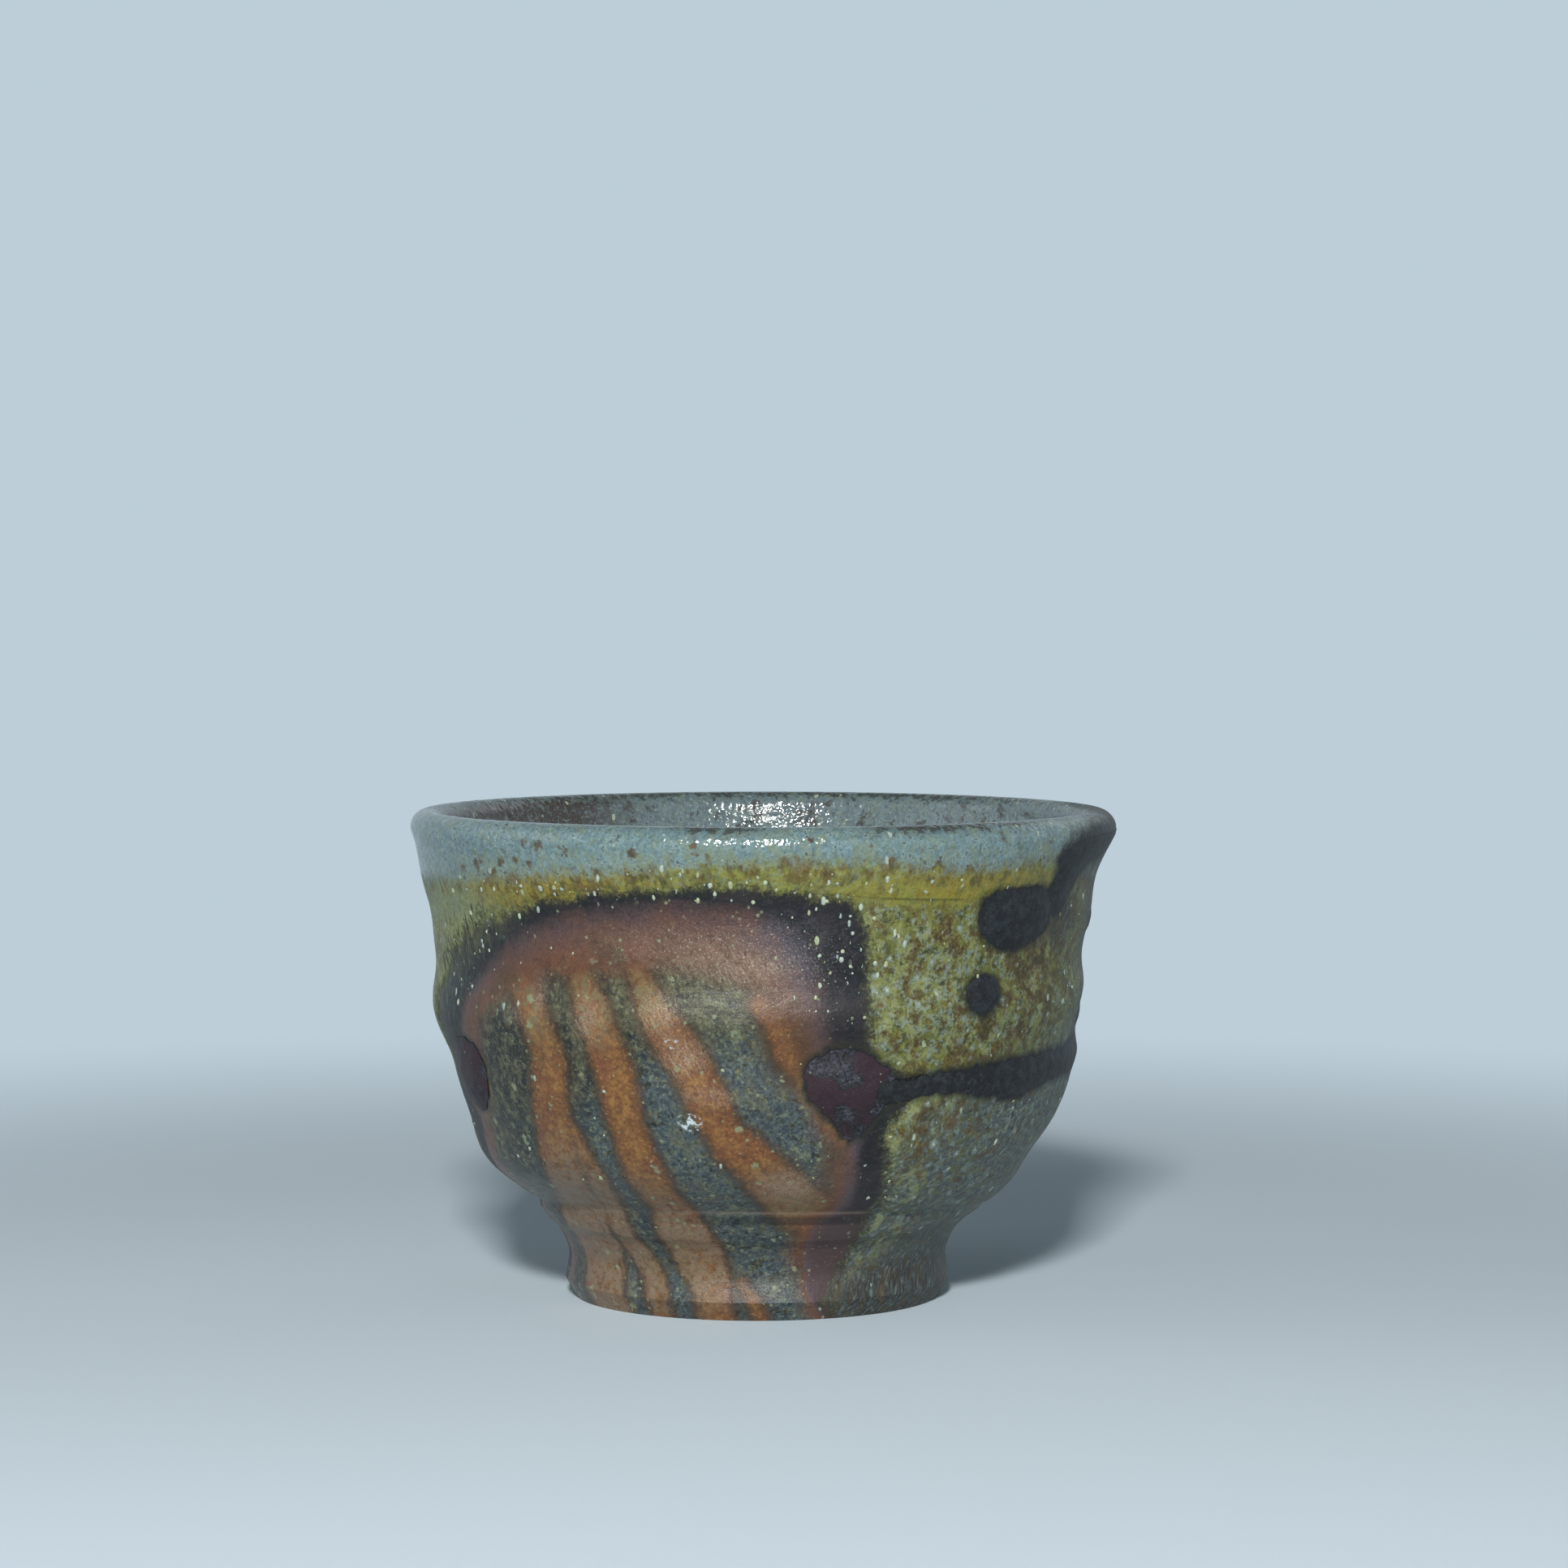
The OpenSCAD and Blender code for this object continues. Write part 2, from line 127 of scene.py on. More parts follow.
class GuinomiColours(bpy.types.PropertyGroup):
    """The colours that the fire left, as they look in plain light, and those of the painted sheen and glints."""

    clay_dark: colour("Dark clay", "Masked clay, olive black", "#1b1e19")
    clay_olive: colour("Olive clay", "Masked clay where it is lighter", "#6c6849")
    # Partly the clay's own blue-grey, partly painted sheen: lighter where the low field catches the light
    clay_blue: colour("Blue clay", "Masked clay low on the bowl and on the foot", "#5a6b72")
    straw: colour("Straw", "Lines left by straw", "#764d29")
    straw_pale: colour("Pale straw", "Freckles in the straw lines", "#98713c")
    straw_dull: colour("Dull straw", "Straw lines on the foot", "#7b6955")
    straw_edge: colour("Straw edge", "Brown edges of the straw lines", "#412f1c")
    # Painted sheen: the pale colour laid where the clay catches the light, on its pale patches and on the ledge's edge
    painted_sheen: colour("Frost", "Pale sheen on the clay", "#b3a08c")
    rust: colour("Rust", "Flashed band round the masked field", "#6d402a")
    rust_pale: colour("Pale rust", "The band where it is pinkish", "#84695c")
    plum: colour("Plum", "Brown between the band and the border", "#4c3a3a")
    purple: colour("Purple", "The same on the right", "#4f4c58")
    border: colour("Border", "Dark line where the ash glaze ends", "#0e0f14")
    ash_olive: colour("Olive ash", "Ground of the ash glaze", "#5f6130")
    ash_yellow: colour("Yellow ash", "Ash glaze where it is thin", "#83853a")
    ash_pale: colour("Pale ash", "Light grains of the ash glaze", "#939a68")
    ash_gold: colour("Gold ash", "Mustard band at the front left", "#8c7a24")
    ash_moss: colour("Moss ash", "Dark hollows of the ash glaze", "#292a15")
    ash_grey: colour("Grey ash", "Milky patches of the ash glaze", "#8a9c97")
    ash_slate: colour("Slate ash", "Ash glaze below the run and far right", "#4a5352")
    ash_rust: colour("Rust ash", "Iron patches in the ash glaze", "#57401a")
    ash_dark: colour("Dark ash", "Scorched ash on the sides", "#2f2c27")
    lip_blue: colour("Blue lip", "Glass over the lip", "#637b80")
    lip_pale: colour("Pale lip", "Crystals in the lip's glass", "#88a0a2")
    lip_moss: colour("Mossy lip", "Greenish clouds in the lip's glass", "#76826a")
    iron: colour("Iron", "Iron spots in the lip's glass", "#493226")
    droplet: colour("Droplet", "Droplets of ash glass", "#b2bda8")
    gleam: colour("Gleam", "Bright flecks on the masked clay", "#c9d6da")
    speck: colour("Speck", "Olive specks on the masked clay", "#858e6e")
    glass: colour("Kiln glass", "Dark beads and runs", "#111216")
    glass_plum: colour("Plum glass", "Middle of the large bead", "#301d25")
    glass_grit: colour("Glass grit", "Grains in the beads", "#4f4d5a")
    inside: colour("Inside", "Lining glaze", "#65757a")
    inside_brown: colour("Inside brown", "Scorched lining", "#3b2c25")
    pool: colour("Pool", "Glass pooled on the floor", "#4d6154")
    bare_clay: colour("Bare clay", "Clay under the foot", "#6b4a36")
    cloth: colour("Ground", "Floor and backdrop", "#d3e2ec")
    backdrop: colour("Backdrop", "Backdrop where the camera sees it", "#bdced8")


# The hand-pressed form, in millimetres and degrees. Angles are counted from
# the front of the cup (-Y) towards its right (+X).

# Angle, height as a share of the cup's, half width and half height as shares
# of the lip's radius, and depth as a share of a full press
PRESS_SHARES = [
    (-92, 0.63, 0.4, 0.09, -0.6),
    (-90, 0.71, 0.4, 0.07, 0.5),
    (-90, 0.45, 0.4, 0.09, 1.1),
    (-90, 0.18, 0.7, 0.05, 2.2),
    (88, 0.6, 0.5, 0.13, 0.9),
    (88, 0.44, 0.4, 0.06, -1.1),
    (90, 0.28, 0.5, 0.08, 1.2),
    (92, 0.98, 0.3, 0.06, -0.7),
    (90, 0.86, 0.5, 0.14, 1),
    (-25, 0.7, 0.34, 0.34, -0.5),
    (20, 0.52, 0.16, 0.16, 0.5),
    (150, 0.5, 0.3, 0.3, 0.8),
    (-150, 0.66, 0.3, 0.3, 0.6),
    (-140, 0.95, 0.4, 0.4, 0.5),
]
LEDGE_TOP_ANGLE = -5
SECTION_STEP = 1 / 200
TABLE_ROWS = 400


def mix(low, high, share):
    """The value a share of the way from low to high."""
    return low + (high - low) * share


def smooth(x):
    """0 below 0, 1 above 1, and a smooth step between."""
    c = np.clip(x, 0, 1)
    return c * c * (3 - 2 * c)


def through(points, along):
    """Places on a smooth line through points, from the first at 0 to the last at 1."""
    points = np.array(points, float)
    spans = len(points) - 1
    along = np.clip(np.asarray(along, float), 0, 1) * spans
    first = np.minimum(np.floor(along), spans - 1).astype(int)
    u = (along - first)[..., None]
    before, start = points[np.maximum(first - 1, 0)], points[first]
    stop, after = points[first + 1], points[np.minimum(first + 2, spans)]
    return (
        2 * start + (stop - before) * u + (2 * before - 5 * start + 4 * stop - after) * u ** 2
        + (3 * start - before - 3 * stop + after) * u ** 3
    ) / 2


class Form:
    """The clay's section and the hand-pressed form that every piece shares, in millimetres."""

    def __init__(self, group):
        self.size = size = SimpleNamespace(**{key: getattr(group, key) / MM for key in group.__annotations__})
        self.rim_r, self.ledge_r = size.rim_d / 2, size.ledge_d / 2
        self.lip_base_h = size.cup_h - size.lip_round
        self.floor_h = size.hollow_h + size.floor_t
        neck_r, belly_r = size.neck_d / 2, size.belly_d / 2
        ledge, belly = (self.ledge_r, size.ledge_h), (belly_r, size.belly_h)
        neck, lip = (neck_r, size.neck_h), (self.rim_r, self.lip_base_h)
        self.outside = [
            ledge, self.between(ledge, belly, (0.55, 0.35)), belly, self.between(belly, neck, (0.96, 0.64)),
            neck, self.between(neck, lip, (0.5, 0.6)), lip,
        ]
        self.inside = [
            (self.rim_r - size.lip_t, self.lip_base_h),
            (neck_r - size.wall_t, size.neck_h),
            (belly_r - size.wall_t, mix(size.belly_h, size.neck_h, 1 / 4)),
            ((belly_r - size.wall_t) * 0.86, mix(self.floor_h, size.belly_h, 0.52)),
            ((belly_r - size.wall_t) * 0.56, mix(self.floor_h, size.belly_h, 0.13)),
            (0, self.floor_h),
        ]
        self.wall_rows = np.linspace(0, 1, TABLE_ROWS)
        self.wall = self.section(self.wall_rows)
        # Where on the section the lip's glass starts and ends
        self.band_low = self.share_at(size.cup_h - size.lip_band_h)
        self.band_high = 2 + size.lip_band_h / (size.cup_h - self.floor_h) / 2

    @staticmethod
    def between(p, q, shares):
        """The point whose radius and height lie at two shares of the way from p to q."""
        return mix(p[0], q[0], shares[0]), mix(p[1], q[1], shares[1])

    def section(self, s):
        """Radius and height of the clay: up the outside from 0 to 1, over the lip to 2, and down the inside to 3."""
        s = np.asarray(s, float)
        over = np.pi * np.clip(s - 1, 0, 1)
        size = self.size
        lip = np.stack([
            self.rim_r - size.lip_t / 2 * (1 - np.cos(over)),
            self.lip_base_h + size.lip_round * np.sin(over),
        ], -1)
        outside, inside = through(self.outside, s), through(self.inside, s - 2)
        return np.where((s < 1)[..., None], outside, np.where((s < 2)[..., None], lip, inside))

    def proud(self, s, d):
        """Radius and height of a point that lies d out of the clay."""
        run = self.section(np.minimum(s + SECTION_STEP, 3)) - self.section(np.maximum(s - SECTION_STEP, 0))
        out = np.stack([run[..., 1], -run[..., 0]], -1) / np.linalg.norm(run, axis=-1, keepdims=True)
        return self.section(s) + np.asarray(d)[..., None] * out

    def share_at(self, h):
        """Where on the section the outer wall has height h."""
        return np.interp(h, self.wall[:, 1], self.wall_rows)

    def place(self, angle, p):
        """Where a point of the round section lies on the finished cup, and the height that it had before."""
        size = self.size
        a, (r, h) = np.radians(angle), np.moveaxis(p, -1, 0)
        pressed = np.zeros(np.broadcast(a, h).shape)
        for at, height, half_w, half_h, depth in PRESS_SHARES:
            aside = np.radians((angle - at + 180) % 360 - 180) / half_w
            above = (h - height * size.cup_h) / self.rim_r / half_h
            pressed = pressed + depth * np.exp(-(aside ** 2 + above ** 2) / 2)
        ridged = size.ridge_t * np.sin(2 * np.pi * h / size.ridge_pitch - a)
        free = smooth((h - size.foot_h) / (size.ledge_h - size.foot_h))
        out = smooth(r / (self.ledge_r / 2))
        front = ((1 + np.cos(a - math.radians(LEDGE_TOP_ANGLE))) / 2) ** 2
        up = smooth((h - size.belly_h) / (size.cup_h - size.belly_h))
        low = 1 - smooth((h - size.ledge_h) / (size.belly_h - size.ledge_h))
        lift = size.ledge_wave * front * free * low - size.rim_wave * np.cos(a) * up
        r = r - (size.press_depth * pressed - ridged) * free * out
        lean = size.foot_shift * (1 - np.clip((h - size.foot_h) / (size.cup_h - size.foot_h), 0, 1))
        return np.stack([r * np.sin(a) - lean, -r * np.cos(a), h + lift * out], -1)


# Fire marks, and the places of painted sheen, glints and shade, as places of angle in degrees and height in millimetres

# Where the ash glaze ends: up the left side, over the masked field, and down
# past the large bead to the foot
ASH_EDGE = [
    (-86, -2), (-86, 8), (-83, 11), (-88, 18), (-86, 24), (-80, 28.5), (-75, 33), (-66, 37.2), (-52, 41),
    (-41, 43.3), (-32, 44.6), (-20, 45.3), (-8, 45.7), (2, 45.4), (9, 44.8), (15, 44), (17.5, 40), (18.3, 36),
    (19, 31), (21, 28), (27, 26), (28, 24.2), (25, 22), (24, 20), (26, 16.5), (28.3, 13), (27.6, 11), (27.8, 9),
    (25.5, 5.5), (20, 2.2), (17, -2),
]
# Inner edge of the dark border
BORDER_EDGE = [
    (-78, -2), (-78, 8), (-76, 12), (-71, 18), (-68, 24), (-65, 30), (-57, 35.8), (-44, 40.5), (-33, 43),
    (-20, 44.2), (-11, 44.5), (-1, 43.6), (6, 41.4), (9.2, 38.8), (11, 34.5), (12.5, 30), (15, 25), (19.3, 20.5),
    (20, 17), (22, 12.5), (16, 10.5), (15, 7), (15.5, 3), (15.5, -2),
]
# Inner edge of the rust band
RUST_EDGE = [
    (-72, -2), (-73, 8), (-72, 12), (-67, 17), (-62, 22), (-61, 27.5), (-51, 33.4), (-37, 36.5), (-24, 37.8),
    (-11.5, 38.2), (-2, 36.2), (2, 34), (6, 30), (8.5, 26), (13, 21), (15.5, 17), (16.5, 12.5), (12.5, 10.5),
    (11.5, 7), (13.5, 3), (13.5, -2),
]
# Straw lines, with half widths in millimetres
STRAWS = [
    [(-44, 35, 1.5), (-41, 32, 1.9), (-39.2, 29, 2.1), (-39.6, 25, 2.3), (-41, 20, 2.4), (-43, 15, 2.4),
     (-47, 11.5, 2.6), (-52, 8.5, 3.6), (-53, 5, 3.4), (-51, 1, 3.2), (-50, -2, 3.2)],
    [(-37.5, 22.5, 0.4), (-35.8, 19, 0.9), (-34.4, 15.5, 1.2), (-37, 11.6, 1.2), (-36.4, 7.8, 1.1),
     (-31, 3.5, 1.1), (-28, -2, 1)],
    [(-31, 36, 1.2), (-28.4, 32.6, 1.7), (-26.6, 29.5, 1.9), (-25, 25.4, 2), (-24, 20.6, 1.9), (-22.4, 16, 2.1),
     (-20.5, 12, 2), (-18, 8.2, 2.7), (-13.5, 3.5, 1.9), (-11, -2, 1.8)],
    [(-20.5, 37, 0.9), (-17.4, 33.2, 1.4), (-14.2, 30.3, 1.9), (-9.8, 25.4, 1.9), (-6.4, 21, 1.7),
     (-2.2, 18.6, 2), (2.8, 15.9, 2.3), (8, 13.4, 2.4), (13, 11.8, 2.2)],
    [(0, 34, 0.8), (2.2, 32.5, 1), (4.2, 30.6, 1.1), (5.6, 28.6, 1), (7, 27, 0.6)],
    [(-4, 4, 0.3), (-2, 2.8, 0.5), (0.5, 1, 0.6), (2, -2, 0.6)],
]
# Outlines of the glass beads
LARGE_BEAD = [
    (8, 26.5), (9, 28.2), (11.5, 29.1), (15, 29.3), (18.5, 29), (21.5, 27.8), (24.5, 26.2), (24.6, 24.6),
    (22.8, 23.2), (21, 22), (19, 20.4), (16.5, 20.2), (14, 21.8), (10.5, 23.6), (8.5, 25.2),
]
LEFT_BEAD = [
    (-72, 27.6), (-69, 28.8), (-62.8, 28.6), (-59.5, 27.2), (-58.8, 25), (-60, 22.8), (-64, 21.2), (-69, 21.6),
    (-73, 23.5), (-74, 25.6),
]
UPPER_BEAD = [
    (38.4, 42.2), (39, 44), (42.5, 44.9), (48, 44.9), (54, 44.8), (57, 43.2), (56, 40.8), (52.5, 39.4),
    (47.2, 38.7), (42, 39.5), (39.4, 40.8),
]
SMALL_BEAD = [
    (36.8, 34.2), (37.8, 35.4), (40.5, 36.2), (43.5, 35.7), (44.5, 34.3), (43.2, 33), (40.6, 32.4), (37.8, 32.9),
]
UPPER_RUN = [
    (53.5, 43), (55.5, 45), (56.2, 46.4), (55.6, 48.4), (59.5, 49.7), (66.5, 50.4), (78, 50.9), (90, 51),
    (94, 50), (92, 48.4), (84, 47.8), (75, 47.4), (68, 47), (64.5, 45.2), (61.5, 42.8), (58, 42),
]
# Lines of the lower run and of the nubs at the side, with half widths in millimetres
LOWER_RUN = [
    (22, 25, 1.2), (27, 25.2, 1), (34, 25.6, 1.1), (42, 25.5, 1.4), (50, 25.3, 2), (57, 25.5, 1.9), (66, 26, 1.5),
    (76, 26.2, 1.7), (88, 26.4, 2), (100, 26.2, 1.5), (110, 26.6, 0.5),
]
SIDE_NUBS = [
    [(85, 30, 1), (87, 30.6, 1)],
    [(85.5, 39.8, 0.9), (86.5, 40.8, 0.9)],
]
GLASS = (LARGE_BEAD, LEFT_BEAD, UPPER_BEAD, SMALL_BEAD, UPPER_RUN, LOWER_RUN, *SIDE_NUBS)
# Lower edge of the blue lip
LIP_EDGE = [
    (-180, 44), (-150, 45.5), (-120, 43.5), (-90, 44.5), (-61, 45.6), (-40, 46.6), (-24, 47.2), (-11, 48),
    (2.5, 48.5), (20, 48.2), (35, 47.2), (54.5, 47.8), (70, 46), (95, 43), (125, 45), (155, 43), (180, 44),
]
# Edge of the last flow of ash, at the right below the mustard, with a painted shadow just under it
FOLD = [(10, 45.4), (14, 45.1), (18, 44.8), (24, 44.6), (30, 44.4), (36, 44.3)]
# Soft patches as angle, height, half width, half height and strength
PATCHES = {
    "slate": [(62, 17, 14, 7, 1.2), (45, 8, 10, 4, 1), (24, 2, 4, 2.5, 1.2), (88, 20, 9, 8, 0.9),
              (-150, 20, 16, 12, 0.8), (140, 14, 14, 8, 0.9)],
    "scorch": [(94, 36, 9, 14, 0.9), (96, 48, 8, 4, 1), (66, 48.5, 5, 2, 0.9), (-96, 44, 6, 8, 0.6),
               (60, 41.5, 4, 2, 0.8), (170, 30, 14, 16, 0.6), (50, 4, 9, 6, 0.6), (48, 1.5, 10, 2, 0.6)],
    "gold": [(-40, 45, 8, 2.2, 1.3), (35, 45.3, 11, 1.3, 0.9), (-130, 40, 18, 6, 0.5)],
    "smooth": [(32, 45.3, 10, 1.2, 1.1)],
    # Where the painted shadow and highlight of the ledge show, strongest at the front
    "crease": [(10, 11.5, 9, 4, 1)],
    "khaki": [(-72, 43, 9, 3.5, 1.2), (-80, 35, 8, 5, 1)],
    "combed": [(78, 20, 13, 12, 1.2), (86, 34, 8, 14, 0.8)],
    "milk": [(33, 38, 6, 6, 0.7), (28, 32, 5, 4, 0.4), (60, 31, 8, 3, 0.5), (-170, 40, 20, 8, 0.6),
             (110, 42, 14, 6, 0.5), (48, 19, 8, 4, 0.5), (36, 23, 4, 2, 0.6)],
    "moss": [(-80, 36, 8, 8, 1), (60, 36, 9, 6, 0.5)],
    "iron": [(54, 37, 6, 4, 1.2), (34, 27, 6, 2, 0.5), (33, 21, 4, 3, 1), (30, 41, 4, 3, 0.3), (48, 29, 8, 2, 0.5)],
    "lipiron": [(40, 48.2, 22, 1.8, 1), (-20, 48, 16, 1.2, 0.7), (14, 48.2, 8, 1.6, 0.8)],
    # Bluer clay low at the front, lightened in part as painted sheen
    "blue": [(-10, 17, 14, 5, 1.2), (0, 3, 12, 4, 1.1), (-14, 23, 5, 4, 1), (3, 25, 6, 5, 0.8), (-45, 4, 3, 3, 0.5)],
    "olive": [(-12, 34.5, 9, 3.4, 0.8), (-3, 28, 5, 4, 0.5), (-32, 34, 8, 2, 0.5), (-12, 12.5, 12, 1, 0.4)],
    # Pale patches on the straw lines and the band: partly the clay's own pale fibres, partly painted sheen where its
    # ridges catch the light
    "pale": [(-2, 37.8, 5, 1.4, 0.7), (-16.5, 33, 1.6, 1.6, 0.9), (-12.5, 28.6, 1.6, 1.4, 1), (-29.5, 32, 1.6, 2, 0.7),
             (-40, 34, 0.7, 2, 0.6), (-8, 24.6, 2.5, 0.9, 0.6), (-46, 32, 1.2, 0.8, 0.6), (7, 15.3, 2.5, 1.2, 0.6)],
    "brown": [(8, 31, 2.6, 3, 1.3), (14, 16, 1.2, 4, 0.6), (6, 29, 2, 3, 0.6)],
    "wedge": [(17.5, 5, 6, 4.6, 1.6)],
    "faded": [(-42, 34, 3, 3, 1), (-29, 34, 3, 3, 1), (-18, 35, 3, 2, 0.8), (9, 12.6, 3, 1.8, 0.8), (-34, 8, 3, 5, 0.8),
              (-17, 5, 3, 2.5, 0.5)],
    "dull": [(-52, 6, 6, 6, 1.3), (-18, 8, 5, 3, 1.2), (-38, 12, 5, 3, 0.7), (-22, 4, 5, 3, 0.5),
             (7, 15, 3, 2, 0.8), (-37, 16, 3, 3, 0.6)],
    # The pinkish top of the flashed band: partly its own colour, partly painted sheen
    "pink": [(0, 38.5, 7, 3, 1), (-22, 40, 6, 2, 0.4)],
    "cool": [(8, 39.5, 4, 3.5, 1.2), (17, 20, 3, 6, 0.7), (17, 5, 2, 5, 0.7)],
}
# Spots of painted glints on the masked clay, as angle, height, half width, half height and strength
PAINTED_GLINT_SPOTS = [(-12.4, 22.2, 0.9, 0.5, 0.8), (-11.6, 21.6, 0.6, 0.5, 0.8), (-14.6, 30, 0.6, 0.4, 0.8)]
# Where droplets of ash glass lie thickest
DROPS = [
    (-49, 41, 3, 1.6, 0.5), (-57, 38, 2.5, 2, 0.6), (-63, 34, 1.5, 3, 0.5), (-30, 45.3, 12, 0.6, 0.5),
    (-5, 46, 12, 0.8, 0.8), (10.5, 41, 2.6, 3.4, 1), (14, 36, 2.6, 4, 0.8), (18, 30, 2, 2.5, 0.4),
    (26, 14, 1.5, 4, 0.3), (24, 8, 1.5, 2, 0.3),
]
# Marks that the paint reads beside the soft patches
MARKS = ("ash", "field", "straw", "glass", "halo", "lip", "painted_sheen", "back", "bare", "inner", "left", "crown", "ledge",
         "fold")
# A distance past every mark, and the usual radius of the wall
FAR, WALL_R = 60.0, 33
# The mark of the ledge at the ledge's own height; it places the painted shadow under the ledge and the painted
# highlight on its edge. It is zero away from it.
LEDGE_MARK = 10
# The pale ring round the large beads: how far off it lies, and its width
HALO_GAP, HALO_W = 0.5, 0.4
# Within this radius and below this height, no fire reached the clay
BARE_R, BARE_H = 17, 9
# How far from the front, in degrees, marks are worked out one by one
FRONT_SPAN = 125
# From where the paint is that of the back, and where the lip is brown inside
BACK_FROM, BACK_FADE = 96, 20
LEFT_SPAN, LEFT_FADE = (-165, -15), 30
# How far inside the rust band it fades out
RUST_FADE = 3.0
# How far the edges of the ash and of the kiln glass wander, and over what
# width and height
ASH_WANDER, ASH_SPOT = 0.55, (0.8, 1.7)
GLASS_WANDER, GLASS_SPOT = 0.35, (0.9, 0.9)
# The soft random table: its seed, its size and where the wall starts on it
WANDER_SEED, WANDER_CELLS, WANDER_START = 11, 256, (40, 25)
# Points of a smooth line between two places
CURVE_STEPS = 5


def smooth_line(places):
    """A finer line through given places."""
    return through(places, np.linspace(0, 1, (len(places) - 1) * CURVE_STEPS + 1))


def away(angle, z, r, line):
    """Distance in millimetres from each point of the wall to a line, less the line's half width there."""
    nearest = np.full(angle.shape, FAR)
    around = np.radians(1) * r
    for start, stop in zip(line[:-1], line[1:]):
        run_x, run_y = (stop[0] - start[0]) * around, stop[1] - start[1]
        x, y = (angle - start[0]) * around, z - start[1]
        share = np.clip((x * run_x + y * run_y) / (run_x ** 2 + run_y ** 2 + 1e-9), 0, 1)
        gap = np.hypot(x - share * run_x, y - share * run_y)
        if len(start) > 2:
            gap = gap - mix(start[2], stop[2], share)
        nearest = np.minimum(nearest, gap)
    return nearest


def within(angle, z, r, outline):
    """Distance in millimetres to a closed outline, over zero inside it."""
    line = smooth_line(list(outline) + [outline[0]])
    inside = np.zeros(angle.shape, bool)
    for (a0, z0), (a1, z1) in zip(line[:-1], line[1:]):
        crossing = (z0 > z) != (z1 > z)
        inside ^= crossing & (angle < mix(a0, a1, (z - z0) / (z1 - z0 + 1e-9)))
    gap = away(angle, z, r, line)
    return np.where(inside, gap, -gap)


def patches(angle, z, r, places):
    """The summed strength of soft patches at each point, held between 0 and 1."""
    strength = np.zeros(angle.shape)
    for at, height, half_w, half_h, share in places:
        aside = np.radians((angle - at + 180) % 360 - 180) * r / half_w
        strength += share * np.exp(-(aside ** 2 + ((z - height) / half_h) ** 2) / 2)
    return np.clip(strength, 0, 1)


def wander(angle, z, width, height):
    """A soft random value from -1 to 1 over the wall, for ragged edges, with spots of that width and height."""
    table = np.random.default_rng(WANDER_SEED).uniform(-1, 1, (WANDER_CELLS, WANDER_CELLS))
    total = np.zeros(np.shape(angle))
    for octave in (1, 2):
        x = np.radians(angle) * WALL_R / width * octave + WANDER_START[0] * octave
        y = z / height * octave + WANDER_START[1]
        i, j = np.floor(x).astype(int), np.floor(y).astype(int)
        u, v = smooth(x - i), smooth(y - j)
        corners = [table[(i + a) % WANDER_CELLS, (j + b) % WANDER_CELLS] for a in (0, 1) for b in (0, 1)]
        total += mix(mix(corners[0], corners[1], v), mix(corners[2], corners[3], v), u) / octave
    return total / 1.5


def glass_wander(angle, z):
    """How far in millimetres the edge of the kiln glass wanders at each point."""
    return GLASS_WANDER * wander(angle, z, *GLASS_SPOT)


def into(angle, z, r, *shapes):
    """Distance in millimetres into the nearest of some shapes, below zero outside them all. A shape is a closed
    outline of angles and heights, or a line of them with half widths."""
    return np.max([
        -away(angle, z, r, smooth_line(shape)) if len(shape[0]) > 2 else within(angle, z, r, shape)
        for shape in shapes
    ], axis=0)


def fire_and_light_marks(angle, z, r):
    """The fields that the paint reads, one value for each point of the wall."""
    angle = (np.asarray(angle, float) + 180) % 360 - 180
    front = np.abs(angle) < FRONT_SPAN
    marks = {key: np.full(angle.shape, start) for key, start in
             (("ash", FAR), ("field", -1.0), ("straw", -FAR), ("glass", -FAR), ("halo", 0.0))}
    a, h, rad = angle[front], z[front], r[front]
    ash, border, rust = (within(a, h, rad, edge) for edge in (ASH_EDGE, BORDER_EDGE, RUST_EDGE))
    ash = ash + ASH_WANDER * wander(a, h, *ASH_SPOT)
    depth = np.where(
        border < 0, ash / np.maximum(ash - border, 1e-3),
        np.where(rust < 0, 1 + border / np.maximum(border - rust, 1e-3), 2 + rust / RUST_FADE),
    )
    marks["ash"][front] = -ash
    marks["field"][front] = np.where(ash < 0, ash, np.clip(depth, 0, 4))
    marks["straw"][front] = into(a, h, rad, *STRAWS)
    marks["glass"][front] = into(a, h, rad, *GLASS) + glass_wander(a, h)
    beads = np.maximum(into(a, h, rad, LARGE_BEAD) + glass_wander(a, h), into(a, h, rad, LEFT_BEAD))
    ring = np.exp(-((beads + HALO_GAP) / HALO_W) ** 2)
    marks["halo"][front] = ring * smooth((19 - a) / 5) * smooth((28.5 - h) / 2)
    edge = smooth_line(LIP_EDGE)
    marks["lip"] = z - np.interp(angle, edge[:, 0], edge[:, 1])
    marks["painted_sheen"] = patches(angle, z, r, PAINTED_GLINT_SPOTS)
    for key, places in PATCHES.items():
        marks[key] = patches(angle, z, r, places)
    fold = smooth_line(FOLD)
    marks["fold"] = 1 + np.clip(z - np.interp(angle, fold[:, 0], fold[:, 1]), -1, 1)
    marks["back"] = smooth((np.abs(angle) - BACK_FROM) / BACK_FADE)
    marks["left"] = smooth((LEFT_SPAN[1] - angle) / LEFT_FADE) * smooth((angle - LEFT_SPAN[0]) / LEFT_FADE)
    marks["bare"] = np.where((r < BARE_R) & (z < BARE_H), 1.0, 0.0)
    return marks


# Meshes


def lattice(columns, rows, closed=True):
    """Triangles of a grid of points, column by column, closed around the cup or open."""
    i, j = np.meshgrid(np.arange(columns if closed else columns - 1), np.arange(rows - 1), indexing="ij")
    k = (i + 1) % columns
    a, b, c, d = i * rows + j, k * rows + j, k * rows + j + 1, i * rows + j + 1
    return np.concatenate([np.stack([a, b, c], -1).reshape(-1, 3), np.stack([a, c, d], -1).reshape(-1, 3)])


